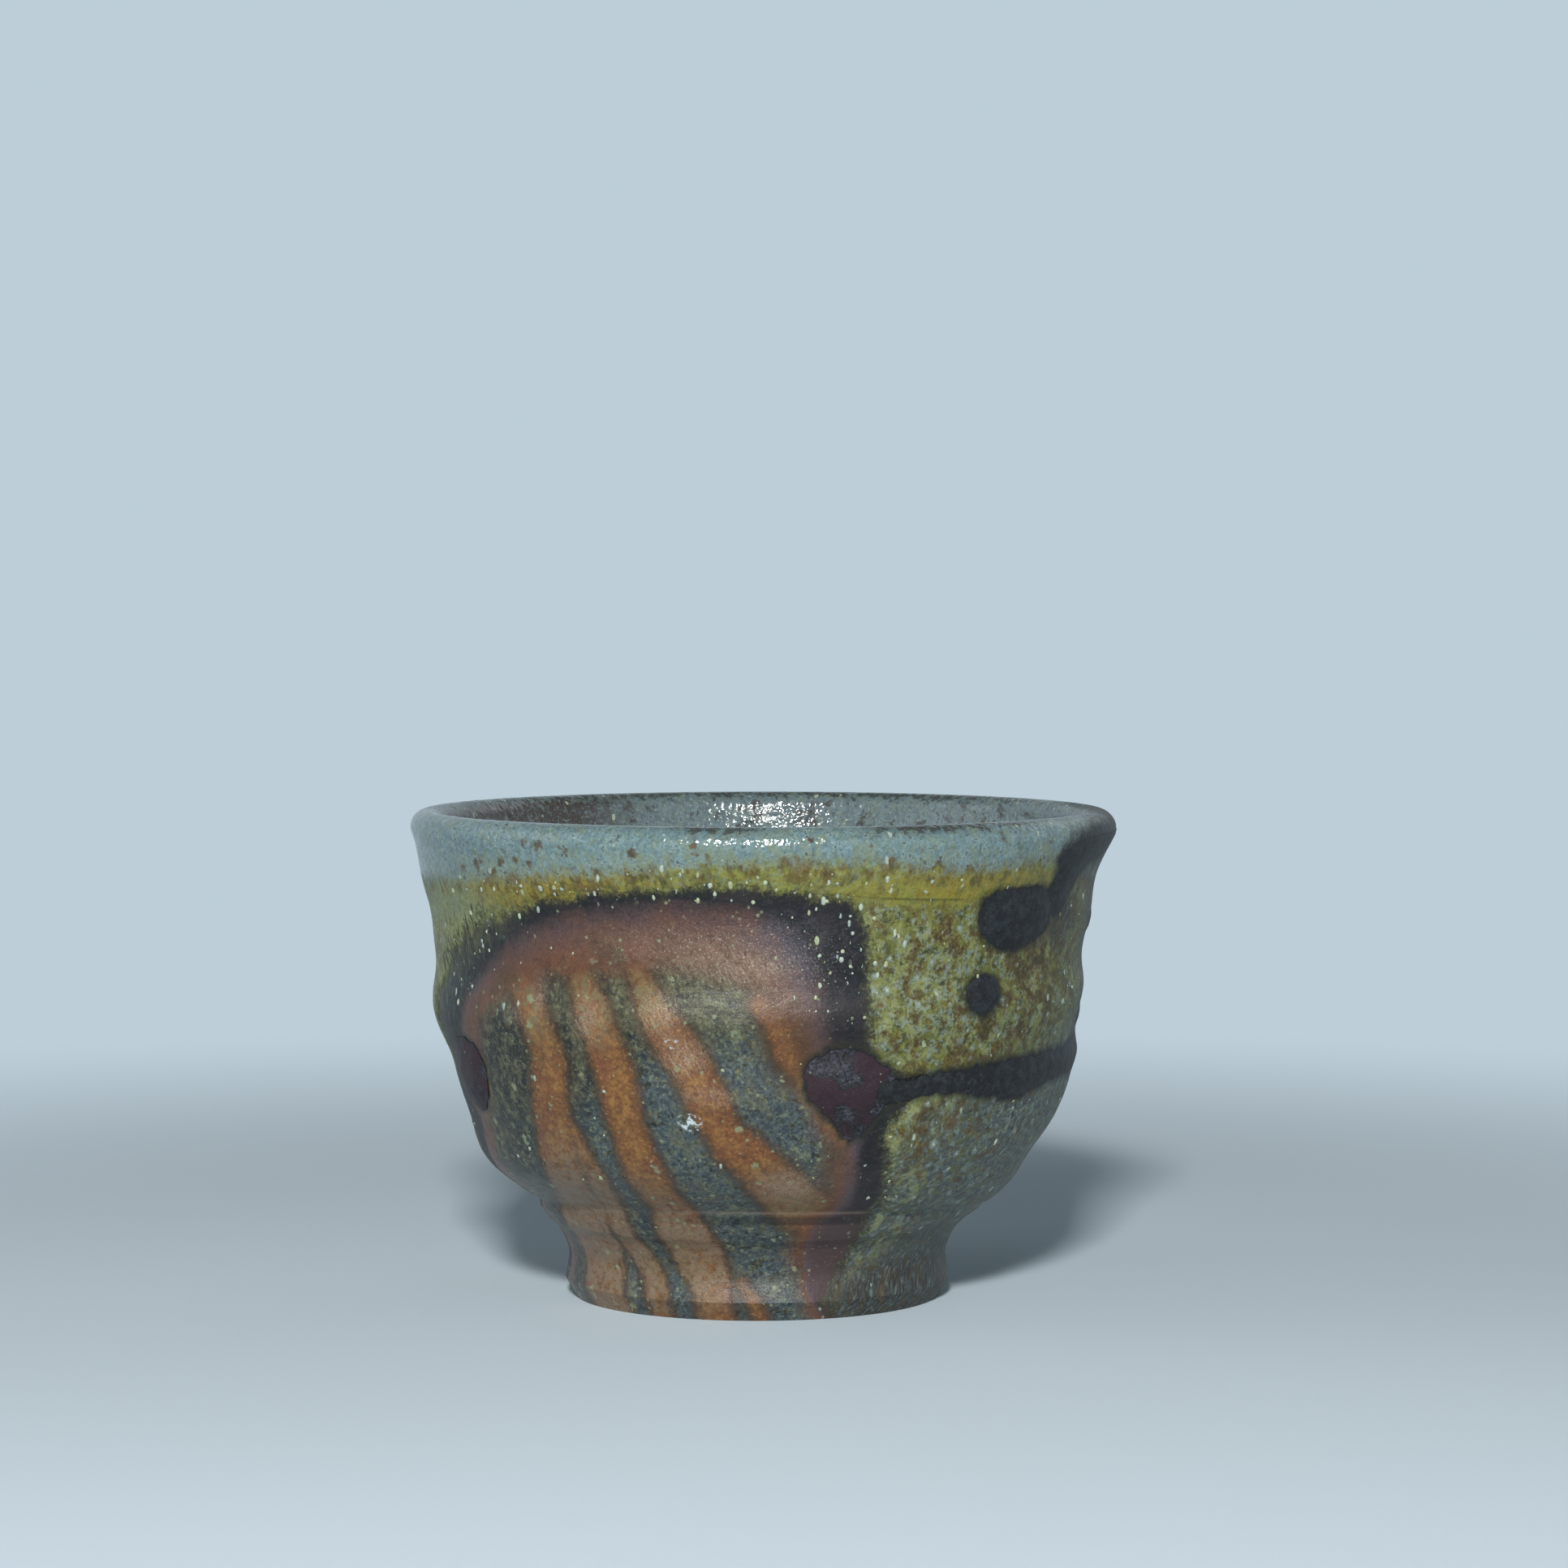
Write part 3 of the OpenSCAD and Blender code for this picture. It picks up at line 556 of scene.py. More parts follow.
def clipped(points, faces, field):
    """The part of a triangle mesh where field is over zero, cut along its zero line."""
    inside = field[faces] > 0
    count = inside.sum(1)
    kept = [faces[count == 3]]
    cuts, new_faces = [], []
    for wanted in (1, 2):
        some, flags = faces[count == wanted], inside[count == wanted]
        odd = np.argmax(flags if wanted == 1 else ~flags, 1)
        turned = np.take_along_axis(some, (odd[:, None] + np.arange(3)) % 3, 1)
        cuts.append(turned)
    base, made = len(points), {}
    extra = []

    def cut(p, q):
        key = (min(p, q), max(p, q))
        if key not in made:
            share = field[key[0]] / (field[key[0]] - field[key[1]])
            made[key] = base + len(extra)
            extra.append(mix(points[key[0]], points[key[1]], share))
        return made[key]

    for a, b, c in cuts[0].tolist():
        new_faces.append((a, cut(a, b), cut(a, c)))
    for a, b, c in cuts[1].tolist():
        p, q = cut(a, b), cut(a, c)
        new_faces += [(p, b, c), (p, c, q)]
    points = np.concatenate([points, np.array(extra).reshape(-1, points.shape[1])])
    faces = np.concatenate(kept + [np.array(new_faces, int).reshape(-1, 3)])
    used, faces = np.unique(faces, return_inverse=True)
    return points[used], faces.reshape(-1, 3)


def rim_edges(faces):
    """The open edges of a triangle mesh, each running the way its face does."""
    edges = np.concatenate([faces[:, [0, 1]], faces[:, [1, 2]], faces[:, [2, 0]]])
    codes = edges[:, 0] * (faces.max() + 1) + edges[:, 1]
    back = edges[:, 1] * (faces.max() + 1) + edges[:, 0]
    return edges[~np.isin(codes, back)]


def mark(made, marks):
    """Writes marks, one value for each point of an object, as its mesh's attributes."""
    for key, values in marks.items():
        made.data.attributes.new(key, "FLOAT", "POINT").data.foreach_set("value", values.astype(np.float32))


def piece(name, points, faces, marks, sharp_angle=50):
    """A mesh object from points in millimetres, with its marks as attributes of its points."""
    mesh = bpy.data.meshes.new(name)
    mesh.vertices.add(len(points))
    mesh.vertices.foreach_set("co", (np.asarray(points) * MM).astype(np.float32).ravel())
    mesh.loops.add(faces.size)
    mesh.loops.foreach_set("vertex_index", faces.astype(np.int32).ravel())
    mesh.polygons.add(len(faces))
    mesh.polygons.foreach_set("loop_start", np.arange(0, faces.size, 3, dtype=np.int32))
    mesh.update(calc_edges=True)
    mesh.validate()
    mesh.shade_smooth()
    mesh.set_sharp_from_angle(angle=math.radians(sharp_angle))
    made = bpy.data.objects.new(name, mesh)
    mark(made, marks)
    bpy.context.scene.collection.objects.link(made)
    return made


def shell(name, form, spots, faces, low, high, **marks):
    """A closed skin between two depths, low and high, over spots given by angle and place on the section."""
    angle, s = spots[:, 0], spots[:, 1]
    sheets = [form.place(angle, form.proud(s, d)) for d in (high, low)]
    count = len(spots)
    rim = rim_edges(faces)
    a, b = rim[:, 0], rim[:, 1]
    sides = np.concatenate([np.stack([a, a + count, b + count], -1), np.stack([a, b + count, b], -1)])
    faces = np.concatenate([faces, faces[:, ::-1] + count, sides])
    points = np.concatenate(sheets)
    marks = {key: np.tile(values, 2) for key, values in marks.items()}
    return piece(name, points, faces, {**marks_of(np.tile(angle, 2), points), **marks})


def on_wall(angle, points):
    """Angle, height and radius of points of the cup whose angles are known."""
    return angle, points[:, 2], np.hypot(points[:, 0], points[:, 1])


def marks_of(angle, points):
    """The fire marks, and the marks of painted sheen and shade, at points of the cup whose angles are known."""
    return fire_and_light_marks(*on_wall(angle, points))


def stepped(corners, step):
    """The points of an open line through corners, about a step apart, without its last point."""
    corners = np.array(corners, float)
    line = []
    for start, stop in zip(corners[:-1], corners[1:]):
        count = max(1, int(math.dist(start, stop) / step))
        line += [mix(start, stop, i / count) for i in range(count)]
    return np.array(line)


def weld(made, gap=1e-6):
    """Merges points that lie on each other, as at the poles."""
    mesh = bmesh.new()
    mesh.from_mesh(made.data)
    bmesh.ops.remove_doubles(mesh, verts=mesh.verts, dist=gap)
    bmesh.ops.recalc_face_normals(mesh, faces=mesh.faces)
    mesh.to_mesh(made.data)
    mesh.free()


def spread(angles, places):
    """Spots for a grid of angles by places on the section, column by column."""
    a, s = np.meshgrid(angles, places, indexing="ij")
    return np.stack([a.ravel(), s.ravel()], -1)


# Columns of the fine meshes, and steps under the bowl and along the foot
COLUMNS, UNDER_STEP, FOOT_STEP = 440, 1.2, 0.5
# Gap between a skin of glass and what it lies on, and its thickness at its edge
SEAT, EDGE_T = 0.02, 0.02
# How far the edge of the ash glaze is sunk into the clay, and over what width
# it comes up to its full thickness
SUNK, FEATHER = 0.1, 2.5
# Room for the grain under the top of the lip, and the width of that grain
LIP_SPARE, GRAIN_W = 0.07, 1.1


def angles_around(count=COLUMNS):
    """Angles of the columns, from the back round the front to the back again."""
    return np.linspace(-180, 180, count, endpoint=False)


# Materials


def add(tree, kind, settings=None, inputs=None, out=0):
    """Adds a node with its settings and its links or values, and returns one of its outputs."""
    made = tree.nodes.new(kind)
    for key, value in (settings or {}).items():
        setattr(made, key, value)
    for key, value in (inputs or {}).items():
        if isinstance(value, bpy.types.NodeSocket):
            tree.links.new(value, made.inputs[key])
        else:
            made.inputs[key].default_value = value
    return made.outputs[out]


def stretched(tree, scale, turned=(0, 0, 0), shift=0.0):
    """Object coordinates in millimetres, turned, then stretched by shares along each axis."""
    place = add(tree, "ShaderNodeTexCoord", out="Object")
    place = add(tree, "ShaderNodeVectorRotate", {"rotation_type": "EULER_XYZ"}, {"Vector": place, "Rotation": turned})
    inputs = {"Vector": place, "Scale": [share / MM for share in scale], "Location": (shift, shift * 0.6, shift * 1.7)}
    return add(tree, "ShaderNodeMapping", inputs=inputs)


def clouds(tree, kinds):
    """Soft noises from 0 to 1, each given by its coordinates, its width in millimetres, detail and roughness."""
    return SimpleNamespace(**{
        name: add(tree, "ShaderNodeTexNoise", out="Fac",
                  inputs={"Vector": place, "Scale": 1 / width, "Detail": detail, "Roughness": rough})
        for name, (place, width, detail, rough) in kinds.items()
    })


def frayed(tree, value, *noises):
    """A value moved up to a reach each way by each noise, which gives what follows it a ragged edge."""
    value = add(tree, "ShaderNodeMath", {"operation": "SUBTRACT"}, {0: value, 1: sum(reach for _, reach in noises)})
    for noise, reach in noises:
        value = add(tree, "ShaderNodeMath", {"operation": "MULTIPLY_ADD"}, {0: noise, 1: 2 * reach, 2: value})
    return value


def coated(tree, ground, coats):
    """Lays coats over a ground in turn, each given by its colour, how much it hides at most, and the values
    that it needs, with where each starts and where it is full. A bare value runs from 0 to 1."""
    for paint, most, *needs in coats:
        for need in needs:
            value, start, full = need if isinstance(need, tuple) else (need, 0, 1)
            inputs = {"Value": value, "From Min": start, "From Max": full}
            part = add(tree, "ShaderNodeMapRange", {"interpolation_type": "SMOOTHSTEP"}, inputs)
            most = add(tree, "ShaderNodeMath", {"operation": "MULTIPLY"}, {0: part, 1: most})
        ground = add(tree, "ShaderNodeMix", {"data_type": "RGBA"}, {0: most, 6: ground, 7: paint}, 2)
    return ground


def grey(level):
    """A level from 0 to 1, as a colour."""
    return level, level, level, 1


def dotted(tree, place, spacing, width, share, seed):
    """Distance from ragged dots up to width across, on a share of the cells spacing apart, with 1 at a dot's edge."""
    bent = add(tree, "ShaderNodeTexNoise", inputs={"Vector": place, "Scale": 1.6 / width, "Detail": 2.0}, out="Color")
    sway = add(tree, "ShaderNodeVectorMath", {"operation": "MULTIPLY_ADD"}, {0: bent, 1: (width,) * 3, 2: place})
    moved = add(tree, "ShaderNodeVectorMath", {"operation": "ADD"}, {0: sway, 1: (seed, seed * 0.7, seed * 1.3)})
    cells = add(tree, "ShaderNodeTexVoronoi", inputs={"Vector": moved, "Scale": 1 / spacing}, out="Distance").node
    chance = add(tree, "ShaderNodeSeparateColor", inputs={0: cells.outputs["Color"]}).node
    bare = add(tree, "ShaderNodeMath", {"operation": "GREATER_THAN"}, {0: chance.outputs[0], 1: share})
    limits = {"Value": chance.outputs[1], "To Min": width / spacing * 0.2, "To Max": width / spacing * 0.6}
    radius = add(tree, "ShaderNodeMapRange", inputs=limits)
    near = add(tree, "ShaderNodeMath", {"operation": "DIVIDE"}, {0: cells.outputs["Distance"], 1: radius})
    return add(tree, "ShaderNodeMath", {"operation": "MULTIPLY_ADD"}, {0: bare, 1: FAR, 2: near})


def palette():
    """The cup's colours as the nodes take them."""
    colours = bpy.context.scene.guinomi_colours
    return SimpleNamespace(**{key: (*getattr(colours, key), 1) for key in colours.__annotations__})


# The paint of the outer pieces. In these functions c holds the colours, m the
# marks, n the noises and dots, and f the marks with ragged edges.


def frayed_marks(tree, m, n):
    """Marks whose edges the noises have made ragged."""
    return SimpleNamespace(
        straw=frayed(tree, m.straw, (n.fine, 0.5), (n.mottle, 0.7), (n.broad, 0.6), (n.grit, 0.5)),
        depth=frayed(tree, m.field, (n.fine, 0.15), (n.broad, 0.35), (n.grit, 0.15), (n.mottle, 0.15)),
        rim=frayed(tree, m.field, (n.fine, 0.15), (n.teeth, 0.15), (n.mottle, 0.15)),
        edge=frayed(tree, m.ash, (n.fine, 0.5), (n.teeth, 0.7), (n.grit, 1), (n.mottle, 0.6)),
        iron=frayed(tree, m.iron, (n.rusty, 5)),
        milk=frayed(tree, m.milk, (n.third, 5)),
        moss=frayed(tree, m.moss, (n.second, 5)),
        slate=frayed(tree, m.slate, (n.mottle, 0.8)),
        scorch=frayed(tree, m.scorch, (n.fibres, 0.8)),
        brim=frayed(tree, m.lip, (n.teeth, 1.6), (n.mottle, 1.2), (n.grit, 1)),
        band=frayed(tree, m.lip, (n.teeth, 1.5), (n.broad, 1.2)),
        soft=frayed(tree, m.ash, (n.teeth, 8), (n.mottle, 3)),
        glassy=frayed(tree, m.glass, (n.mottle, 0.6), (n.fine, 0.4), (n.grit, 0.4)),
    )


# Where the grit darkens and lightens most glazes
HOLLOW, PEAK = (0.48, 0.36), (0.54, 0.68)
# Roughness of the glossiest and of the dullest paint
GLOSSY, MATT = 0.1, 0.65


def clay_paint(tree, c, m, n, f):
    """The masked clay, olive black and granular, bluer below, with throwing lines, painted sheen and glints, and a
    painted shadow under the ledge with a painted highlight on its edge. Also its dark border.
    """
    clay = coated(tree, c.clay_dark, [
        (c.clay_olive, 0.35, (n.mottle, 0.46, 0.62)),
        (c.clay_olive, 0.5, m.olive, (n.second, 0.34, 0.55)),
        (c.clay_blue, 0.85, m.blue, (n.third, 0.36, 0.58)),
        (c.clay_blue, 0.2, (n.lines, 0.5, 0.7)),
        (c.border, 0.6, (n.third, 0.49, 0.57)),
        (c.clay_olive, 0.3, (n.smudge, 0.5, 0.6)),
        (c.speck, 0.25, (n.mottle, 0.55, 0.63)),
        (c.border, 0.5, (n.grit, 0.47, 0.4)),
        (c.speck, 0.5, (n.grit, 0.55, 0.64)),
    ])

    # Straw lines: brown edges, freckles and darker clouds
    clay = coated(tree, clay, [
        (c.straw_edge, 0.9, m.brown, (n.second, 0.2, 0.45)),
        (c.straw_edge, 0.75, (f.straw, -1.4, -0.2)),
        (c.straw, 0.95, (f.straw, -0.6, 0.8), (n.fine, 0.05, 0.35)),
        (c.straw_pale, 0.7, (f.straw, 0.1, 1.4), (n.second, 0.42, 0.62)),
        (c.rust, 0.6, (f.straw, -0.3, 0.6), (n.broad, 0.5, 0.6)),
        (c.straw_edge, 0.4, (f.straw, -0.3, 0.4), (n.third, 0.5, 0.66)),
        (c.straw_edge, 0.5, (f.straw, -0.3, 0.4), (n.grit, 0.48, 0.37)),
        (c.straw_pale, 0.75, (f.straw, -0.3, 0.6), (n.grit, 0.54, 0.64)),
        (c.clay_olive, 0.75, (f.straw, -0.4, 0.5), m.faded, (n.mottle, 0.38, 0.6)),
        (c.straw_dull, 0.85, (f.straw, -0.4, 0.5), m.dull, (n.second, 0.35, 0.55)),
        (c.straw_edge, 0.4, (f.straw, -0.4, 0.5), m.dull, (n.grit, 0.48, 0.4)),
    ])

    # The flashed band, rust at the left, pinkish above and purple at the
    # right, and then the dark border of the ash
    flash = coated(tree, c.rust, [
        (c.straw_edge, 0.7, (n.broad, 0.46, 0.6)),
        (c.straw_edge, 0.6, m.brown),
        # The pinkish band, lightened in part as painted sheen
        (c.rust_pale, 0.75, m.pink, (n.second, 0.2, 0.6)),
        (c.straw_edge, 0.3, (n.third, 0.5, 0.66)),
        (c.straw_pale, 0.35, (n.fine, 0.5, 0.7)),
        (c.plum, 0.3, (n.grit, 0.47, 0.35)),
    ])
    shade = coated(tree, c.plum, [
        (c.purple, 0.9, m.cool), (c.rust, 0.35, (n.broad, 0.46, 0.6)), (c.border, 0.4, (n.grit, 0.48, 0.35)),
        (c.rust_pale, 0.3, (n.fine, 0.52, 0.7)),
    ])
    dark = coated(tree, c.border, [
        (c.plum, 0.9, m.wedge), (c.purple, 0.25, (n.second, 0.48, 0.64), m.cool),
        (c.plum, 0.15, (n.broad, 0.48, 0.6)), (c.purple, 0.35, (n.grit, 0.54, 0.68)),
        # Pale strokes over the dark border at the left: streaks of ash, strengthened as painted rim reflection
        (c.lip_moss, 0.6, m.khaki, (n.teeth, 0.5, 0.62)),
    ])
    clay = coated(tree, clay, [
        (flash, 0.88, (f.depth, 2.8, 1.6), (f.depth, 0.8, 1.2), (n.second, 0.1, 0.5)),
        (shade, 0.95, (f.depth, 1.9, 1.1)),
        (dark, 1, (f.rim, 1.4, 0.8)),
        # Pale fibres on the straw lines, lightened as painted sheen
        (c.painted_sheen, 0.6, m.pale, (n.scratch, 0.5, 0.66)),
        (c.painted_sheen, 0.4, m.pale, (n.fine, 0.4, 0.6)),
        (c.speck, 0.8, (n.large, 1.15, 0.6), (f.depth, 1.6, 2.2)),
        (c.speck, 0.75, (n.small, 1.15, 0.6), (n.broad, 0.44, 0.56)),
        (c.straw_pale, 0.5, m.halo, (n.second, 0.36, 0.6)),
        # Painted glints: bright flecks of reflected light on the glint spots and in the pinkish band
        (c.gleam, 0.9, (m.painted_sheen, 0.25, 0.5), (n.third, 0.5, 0.56)),
        (c.gleam, 0.5, (m.pink, 0.2, 0.8), (n.fine, 0.6, 0.68)),
        # Painted shadow in the groove under the ledge, and a painted highlight on the ledge's edge
        (c.border, 0.6, (m.ledge, 9.4, 9.65), (m.ledge, 10, 9.85), m.crease),
        (c.painted_sheen, 0.25, (m.ledge, 10, 10.1), (m.ledge, 10.5, 10.2), m.crease),
    ])
    return clay, dark


def ash_paint(tree, c, m, n, f):
    """The ash glaze: olive and yellow lichen with moss-dark hollows, milky patches, iron spots, and droplets in
    pale rings. Also what it is where it was scorched."""
    lichen = coated(tree, c.ash_olive, [
        (c.ash_yellow, 0.5, (n.mottle, 0.42, 0.6)),
        (c.ash_pale, 0.5, (n.smudge, 0.48, 0.6)),
        (c.ash_moss, 0.55, (n.third, 0.53, 0.61)),
        (c.ash_moss, 0.75, (f.moss, 0.1, 1.1)),
        (c.ash_grey, 0.6, (f.milk, 0.3, 1.5), (n.grit, 0.4, 0.56)),
        (c.ash_rust, 0.8, (f.iron, 0.2, 1.2)),
        (c.ash_moss, 0.6, (f.iron, 0.9, 1.7)),
        (c.ash_moss, 0.45, (n.grit, *HOLLOW)),
        (c.ash_pale, 0.45, (n.grit, 0.53, 0.68)),
    ])
    cold = coated(tree, c.ash_slate, [
        (c.ash_grey, 0.6, (n.third, 0.48, 0.62)),
        (c.ash_dark, 0.7, (n.second, 0.48, 0.62)),
        (c.ash_olive, 0.7, (n.mottle, 0.48, 0.6)),
        (c.ash_pale, 0.6, (f.edge, 7, 3), (n.smudge, 0.48, 0.6)),
        (c.ash_rust, 0.8, (f.iron, 0.1, 1), (n.smears, 0.56, 0.44)),
        (c.ash_grey, 0.6, m.combed, (n.fibres, 0.5, 0.64)),
        (c.ash_dark, 0.6, m.combed, (n.fibres, 0.48, 0.38)),
        (c.ash_dark, 0.45, (n.grit, *HOLLOW)),
        (c.ash_grey, 0.45, (n.grit, *PEAK)),
    ])
    scorched = coated(tree, c.ash_dark, [
        (c.ash_slate, 0.8, (n.fibres, 0.44, 0.56)),
        (c.ash_grey, 0.45, (n.fibres, 0.54, 0.66)),
        (c.ash_rust, 0.5, (n.smears, 0.5, 0.62)),
        (c.border, 0.5, (n.grit, *HOLLOW)),
    ])
    ash = coated(tree, lichen, [
        (c.ash_grey, 0.8, m.back, (n.drips, 0.5, 0.62)),
        (c.ash_moss, 0.8, m.back, (n.drips, 0.42, 0.36)),
        (cold, 1, (f.slate, 0.2, 0.7)),
        (scorched, 1, (f.scorch, 0.3, 0.75)),
        (c.ash_pale, 0.35, (f.edge, 2.4, 0.8), (n.second, 0.46, 0.58), (m.slate, 1.2, 0.4)),
        (c.ash_pale, 0.7, m.khaki, (n.teeth, 0.4, 0.56)),
        (c.ash_moss, 0.75, (f.edge, 1.6, 0.3), (n.teeth, 0.46, 0.58)),
        (c.ash_grey, 0.5, (n.ringed, 2.2, 0.9), (m.scorch, 0.6, 0.2)),
        (c.droplet, 0.8, (n.ringed, 0.8, 0.4), (m.scorch, 0.6, 0.2)),
    ])
    return ash, scorched


def mustard_paint(tree, c, m, n, f):
    """The ragged band of mustard with brown smudges below the lip, and the brown teeth at its top."""
    mustard = coated(tree, c.ash_yellow, [
        (c.ash_olive, 0.8, (n.second, 0.42, 0.6)),
        (c.ash_gold, 0.85, m.gold, (n.drips, 0.64, 0.44)),
        (c.lip_moss, 0.6, (n.third, 0.5, 0.62), (m.smooth, 1, 0), (m.gold, 1.2, 0.2)),
        (c.ash_rust, 0.75, (n.smudge, 0.52, 0.62), (m.smooth, 1, 0)),
        (c.ash_moss, 0.7, (n.drips, 0.54, 0.66), (m.gold, 1.3, 0), (m.smooth, 1, 0)),
        (c.lip_moss, 0.9, m.khaki, (n.drips, 0.3, 0.5)),
        (c.ash_pale, 0.6, m.khaki, (n.teeth, 0.42, 0.58)),
        (c.ash_moss, 0.4, (n.grit, *HOLLOW)),
        (c.ash_pale, 0.45, (n.grit, *PEAK)),
        (c.droplet, 0.45, (n.tall, 1.15, 0.6)),
    ])
    teeth = coated(tree, c.ash_rust, [
        (c.ash_gold, 0.6, (n.mottle, 0.44, 0.6)), (c.ash_moss, 0.7, (n.second, 0.46, 0.6))])
    return mustard, teeth


def lip_paint(tree, c, m, n, f, scorched):
    """The glass of the lip, blue-grey with crystals and iron spots, darker and clouded with brown inside."""
    inner = coated(tree, c.inside, [
        (c.lip_moss, 0.4, (n.second, 0.48, 0.62)),
        (c.lip_pale, 0.5, (n.mottle, 0.48, 0.64)),
        (c.inside_brown, 0.75, (f.iron, 0.5, 1.3)),
        (c.inside_brown, 0.95, m.left, (n.third, 0.3, 0.48)),
        (c.lip_pale, 0.6, (n.grit, 0.54, 0.66)),
        (c.ash_slate, 0.6, (n.grit, *HOLLOW)),
    ])
    return coated(tree, c.lip_blue, [
        (c.lip_moss, 0.6, (n.second, 0.46, 0.62)),
        (c.lip_pale, 0.7, (n.mottle, 0.5, 0.6)),
        (c.ash_slate, 0.6, (n.grit, 0.48, 0.38)),
        (c.lip_pale, 0.6, (n.grit, 0.54, 0.66)),
        (c.lip_moss, 0.7, (f.brim, 3, 0.5), (n.drips, 0.44, 0.58)),
        (c.ash_rust, 0.8, (frayed(tree, n.blots, (n.third, 2)), 1.2, 0.6), (m.lipiron, 0, 0.3)),
        (c.ash_dark, 0.5, (frayed(tree, n.blots, (n.mottle, 1.5)), 0.9, 0.4), (m.lipiron, 0, 0.3)),
        (inner, 1, (frayed(tree, m.inner, (n.teeth, 0.5)), 0.1, 0.9)),
        (c.ash_dark, 0.8, (frayed(tree, m.crown, (n.mottle, 2), (n.grit, 1)), 0.3, 0.8)),
        (scorched, 1, (frayed(tree, m.scorch, (n.fibres, 0.9), (n.smudge, 1)), 0.2, 0.9)),
        (c.droplet, 0.45, (n.small, 1, 0.5), (n.broad, 0.5, 0.62)),
    ])


def fire_and_light_paint():
    """The group that turns the fire marks, and the marks of painted sheen, glints and shade, into colour, roughness and
    relief for every outer piece.
    """
    tree = bpy.data.node_groups.new("fire_and_light_marks", "ShaderNodeTree")
    for name, kind in (("Color", "NodeSocketColor"), ("Roughness", "NodeSocketFloat"), ("Height", "NodeSocketFloat")):
        tree.interface.new_socket(name, in_out="OUTPUT", socket_type=kind)
    c = palette()
    m = SimpleNamespace(**{
        key: add(tree, "ShaderNodeAttribute", {"attribute_name": key}, out="Fac") for key in (*MARKS, *PATCHES)})
    plain, fallen = stretched(tree, (1, 1, 1)), stretched(tree, (1, 1, 0.25))
    thrown = stretched(tree, (0.1, 0.1, 2.2))
    slanted = stretched(tree, (1, 1.3, 0.2), (math.radians(25), 0, 0))
    scratched = stretched(tree, (1, 1, 0.15), (0, math.radians(28), 0))
    other = stretched(tree, (1, 1, 1), shift=9)
    n = clouds(tree, {
        "fine": (plain, 0.18, 3, 0.7), "grit": (other, 0.42, 4, 0.75), "ripple": (plain, 0.6, 1, 0.5),
        "mottle": (plain, 1, 6, 0.66), "second": (other, 1.1, 6, 0.66), "rusty": (other, 1.9, 5, 0.66),
        "third": (stretched(tree, (1, 1, 1), shift=25), 0.85, 6, 0.66), "broad": (plain, 5, 3, 0.6),
        "teeth": (fallen, 0.4, 5, 0.75), "drips": (stretched(tree, (1, 1, 0.4), shift=5), 1, 5, 0.65),
        "smudge": (stretched(tree, (1, 1, 0.5), shift=40), 1.7, 4, 0.6),
        "lines": (thrown, 0.6, 5, 0.7), "fibres": (slanted, 0.4, 5, 0.7), "smears": (slanted, 1.1, 4, 0.6),
        "scratch": (scratched, 0.22, 4, 0.65),
    })
    n.large = dotted(tree, plain, 2.1, 0.8, 0.7, 3)
    n.small = dotted(tree, plain, 0.8, 0.36, 0.6, 7)
    n.ringed = dotted(tree, plain, 1.5, 0.5, 0.5, 13)
    n.blots = dotted(tree, plain, 2.4, 1.4, 0.75, 21)
    n.tall = dotted(tree, stretched(tree, (1, 1, 0.6)), 1.3, 0.5, 0.4, 29)
    f = frayed_marks(tree, m, n)

    # The clay, the ash over it up to its ragged edge, and the lip over that
    clay, dark = clay_paint(tree, c, m, n, f)
    ash, scorched = ash_paint(tree, c, m, n, f)
    mustard, teeth = mustard_paint(tree, c, m, n, f)
    blue = lip_paint(tree, c, m, n, f, scorched)
    ash = coated(tree, ash, [
        (mustard, 0.95, (f.band, -5, -3), (m.scorch, 0.5, 0.1), (m.back, 0.9, 0.1)),
        # A painted shadow just under the edge of the last flow of ash
        (c.ash_moss, 0.6, (m.fold, 0.55, 0.85), (m.fold, 1, 0.9), (m.smooth, 0.3, 0.8), (n.broad, 0.36, 0.56)),
        (teeth, 0.75, (f.brim, -2.4, -0.9), (n.drips, 0.46, 0.58), (m.back, 1.5, 0)),
        (blue, 1, (f.brim, -1, 0.9)),
    ])
    shown = coated(tree, clay, [
        (c.ash_moss, 0.5, (f.edge, -1.2, 0.2), (m.khaki, 0.6, 0)),
        (ash, 1, (f.edge, -0.5, 0.7)),
        (ash, 0.9, (f.soft, -3.5, 0), (m.khaki, 0.1, 0.7), (m.field, 1, 0.5)),
        (dark, 0.9, (f.soft, 3, -1.5), (m.khaki, 0.1, 0.7), (m.field, 1, 0.5)),
        (c.droplet, 0.7, (n.tall, 1.05, 0.7), (m.ash, -2.2, -0.4), (m.field, 2, 1)),
    ])

    # Round the glass, its dark edge shows in what it lies on
    shown = coated(tree, shown, [
        (c.ash_moss, 0.6, (f.glassy, -1.1, -0.3)), (c.glass, 1, (f.glassy, -0.6, 0.1)), (c.bare_clay, 1, m.bare),
    ])

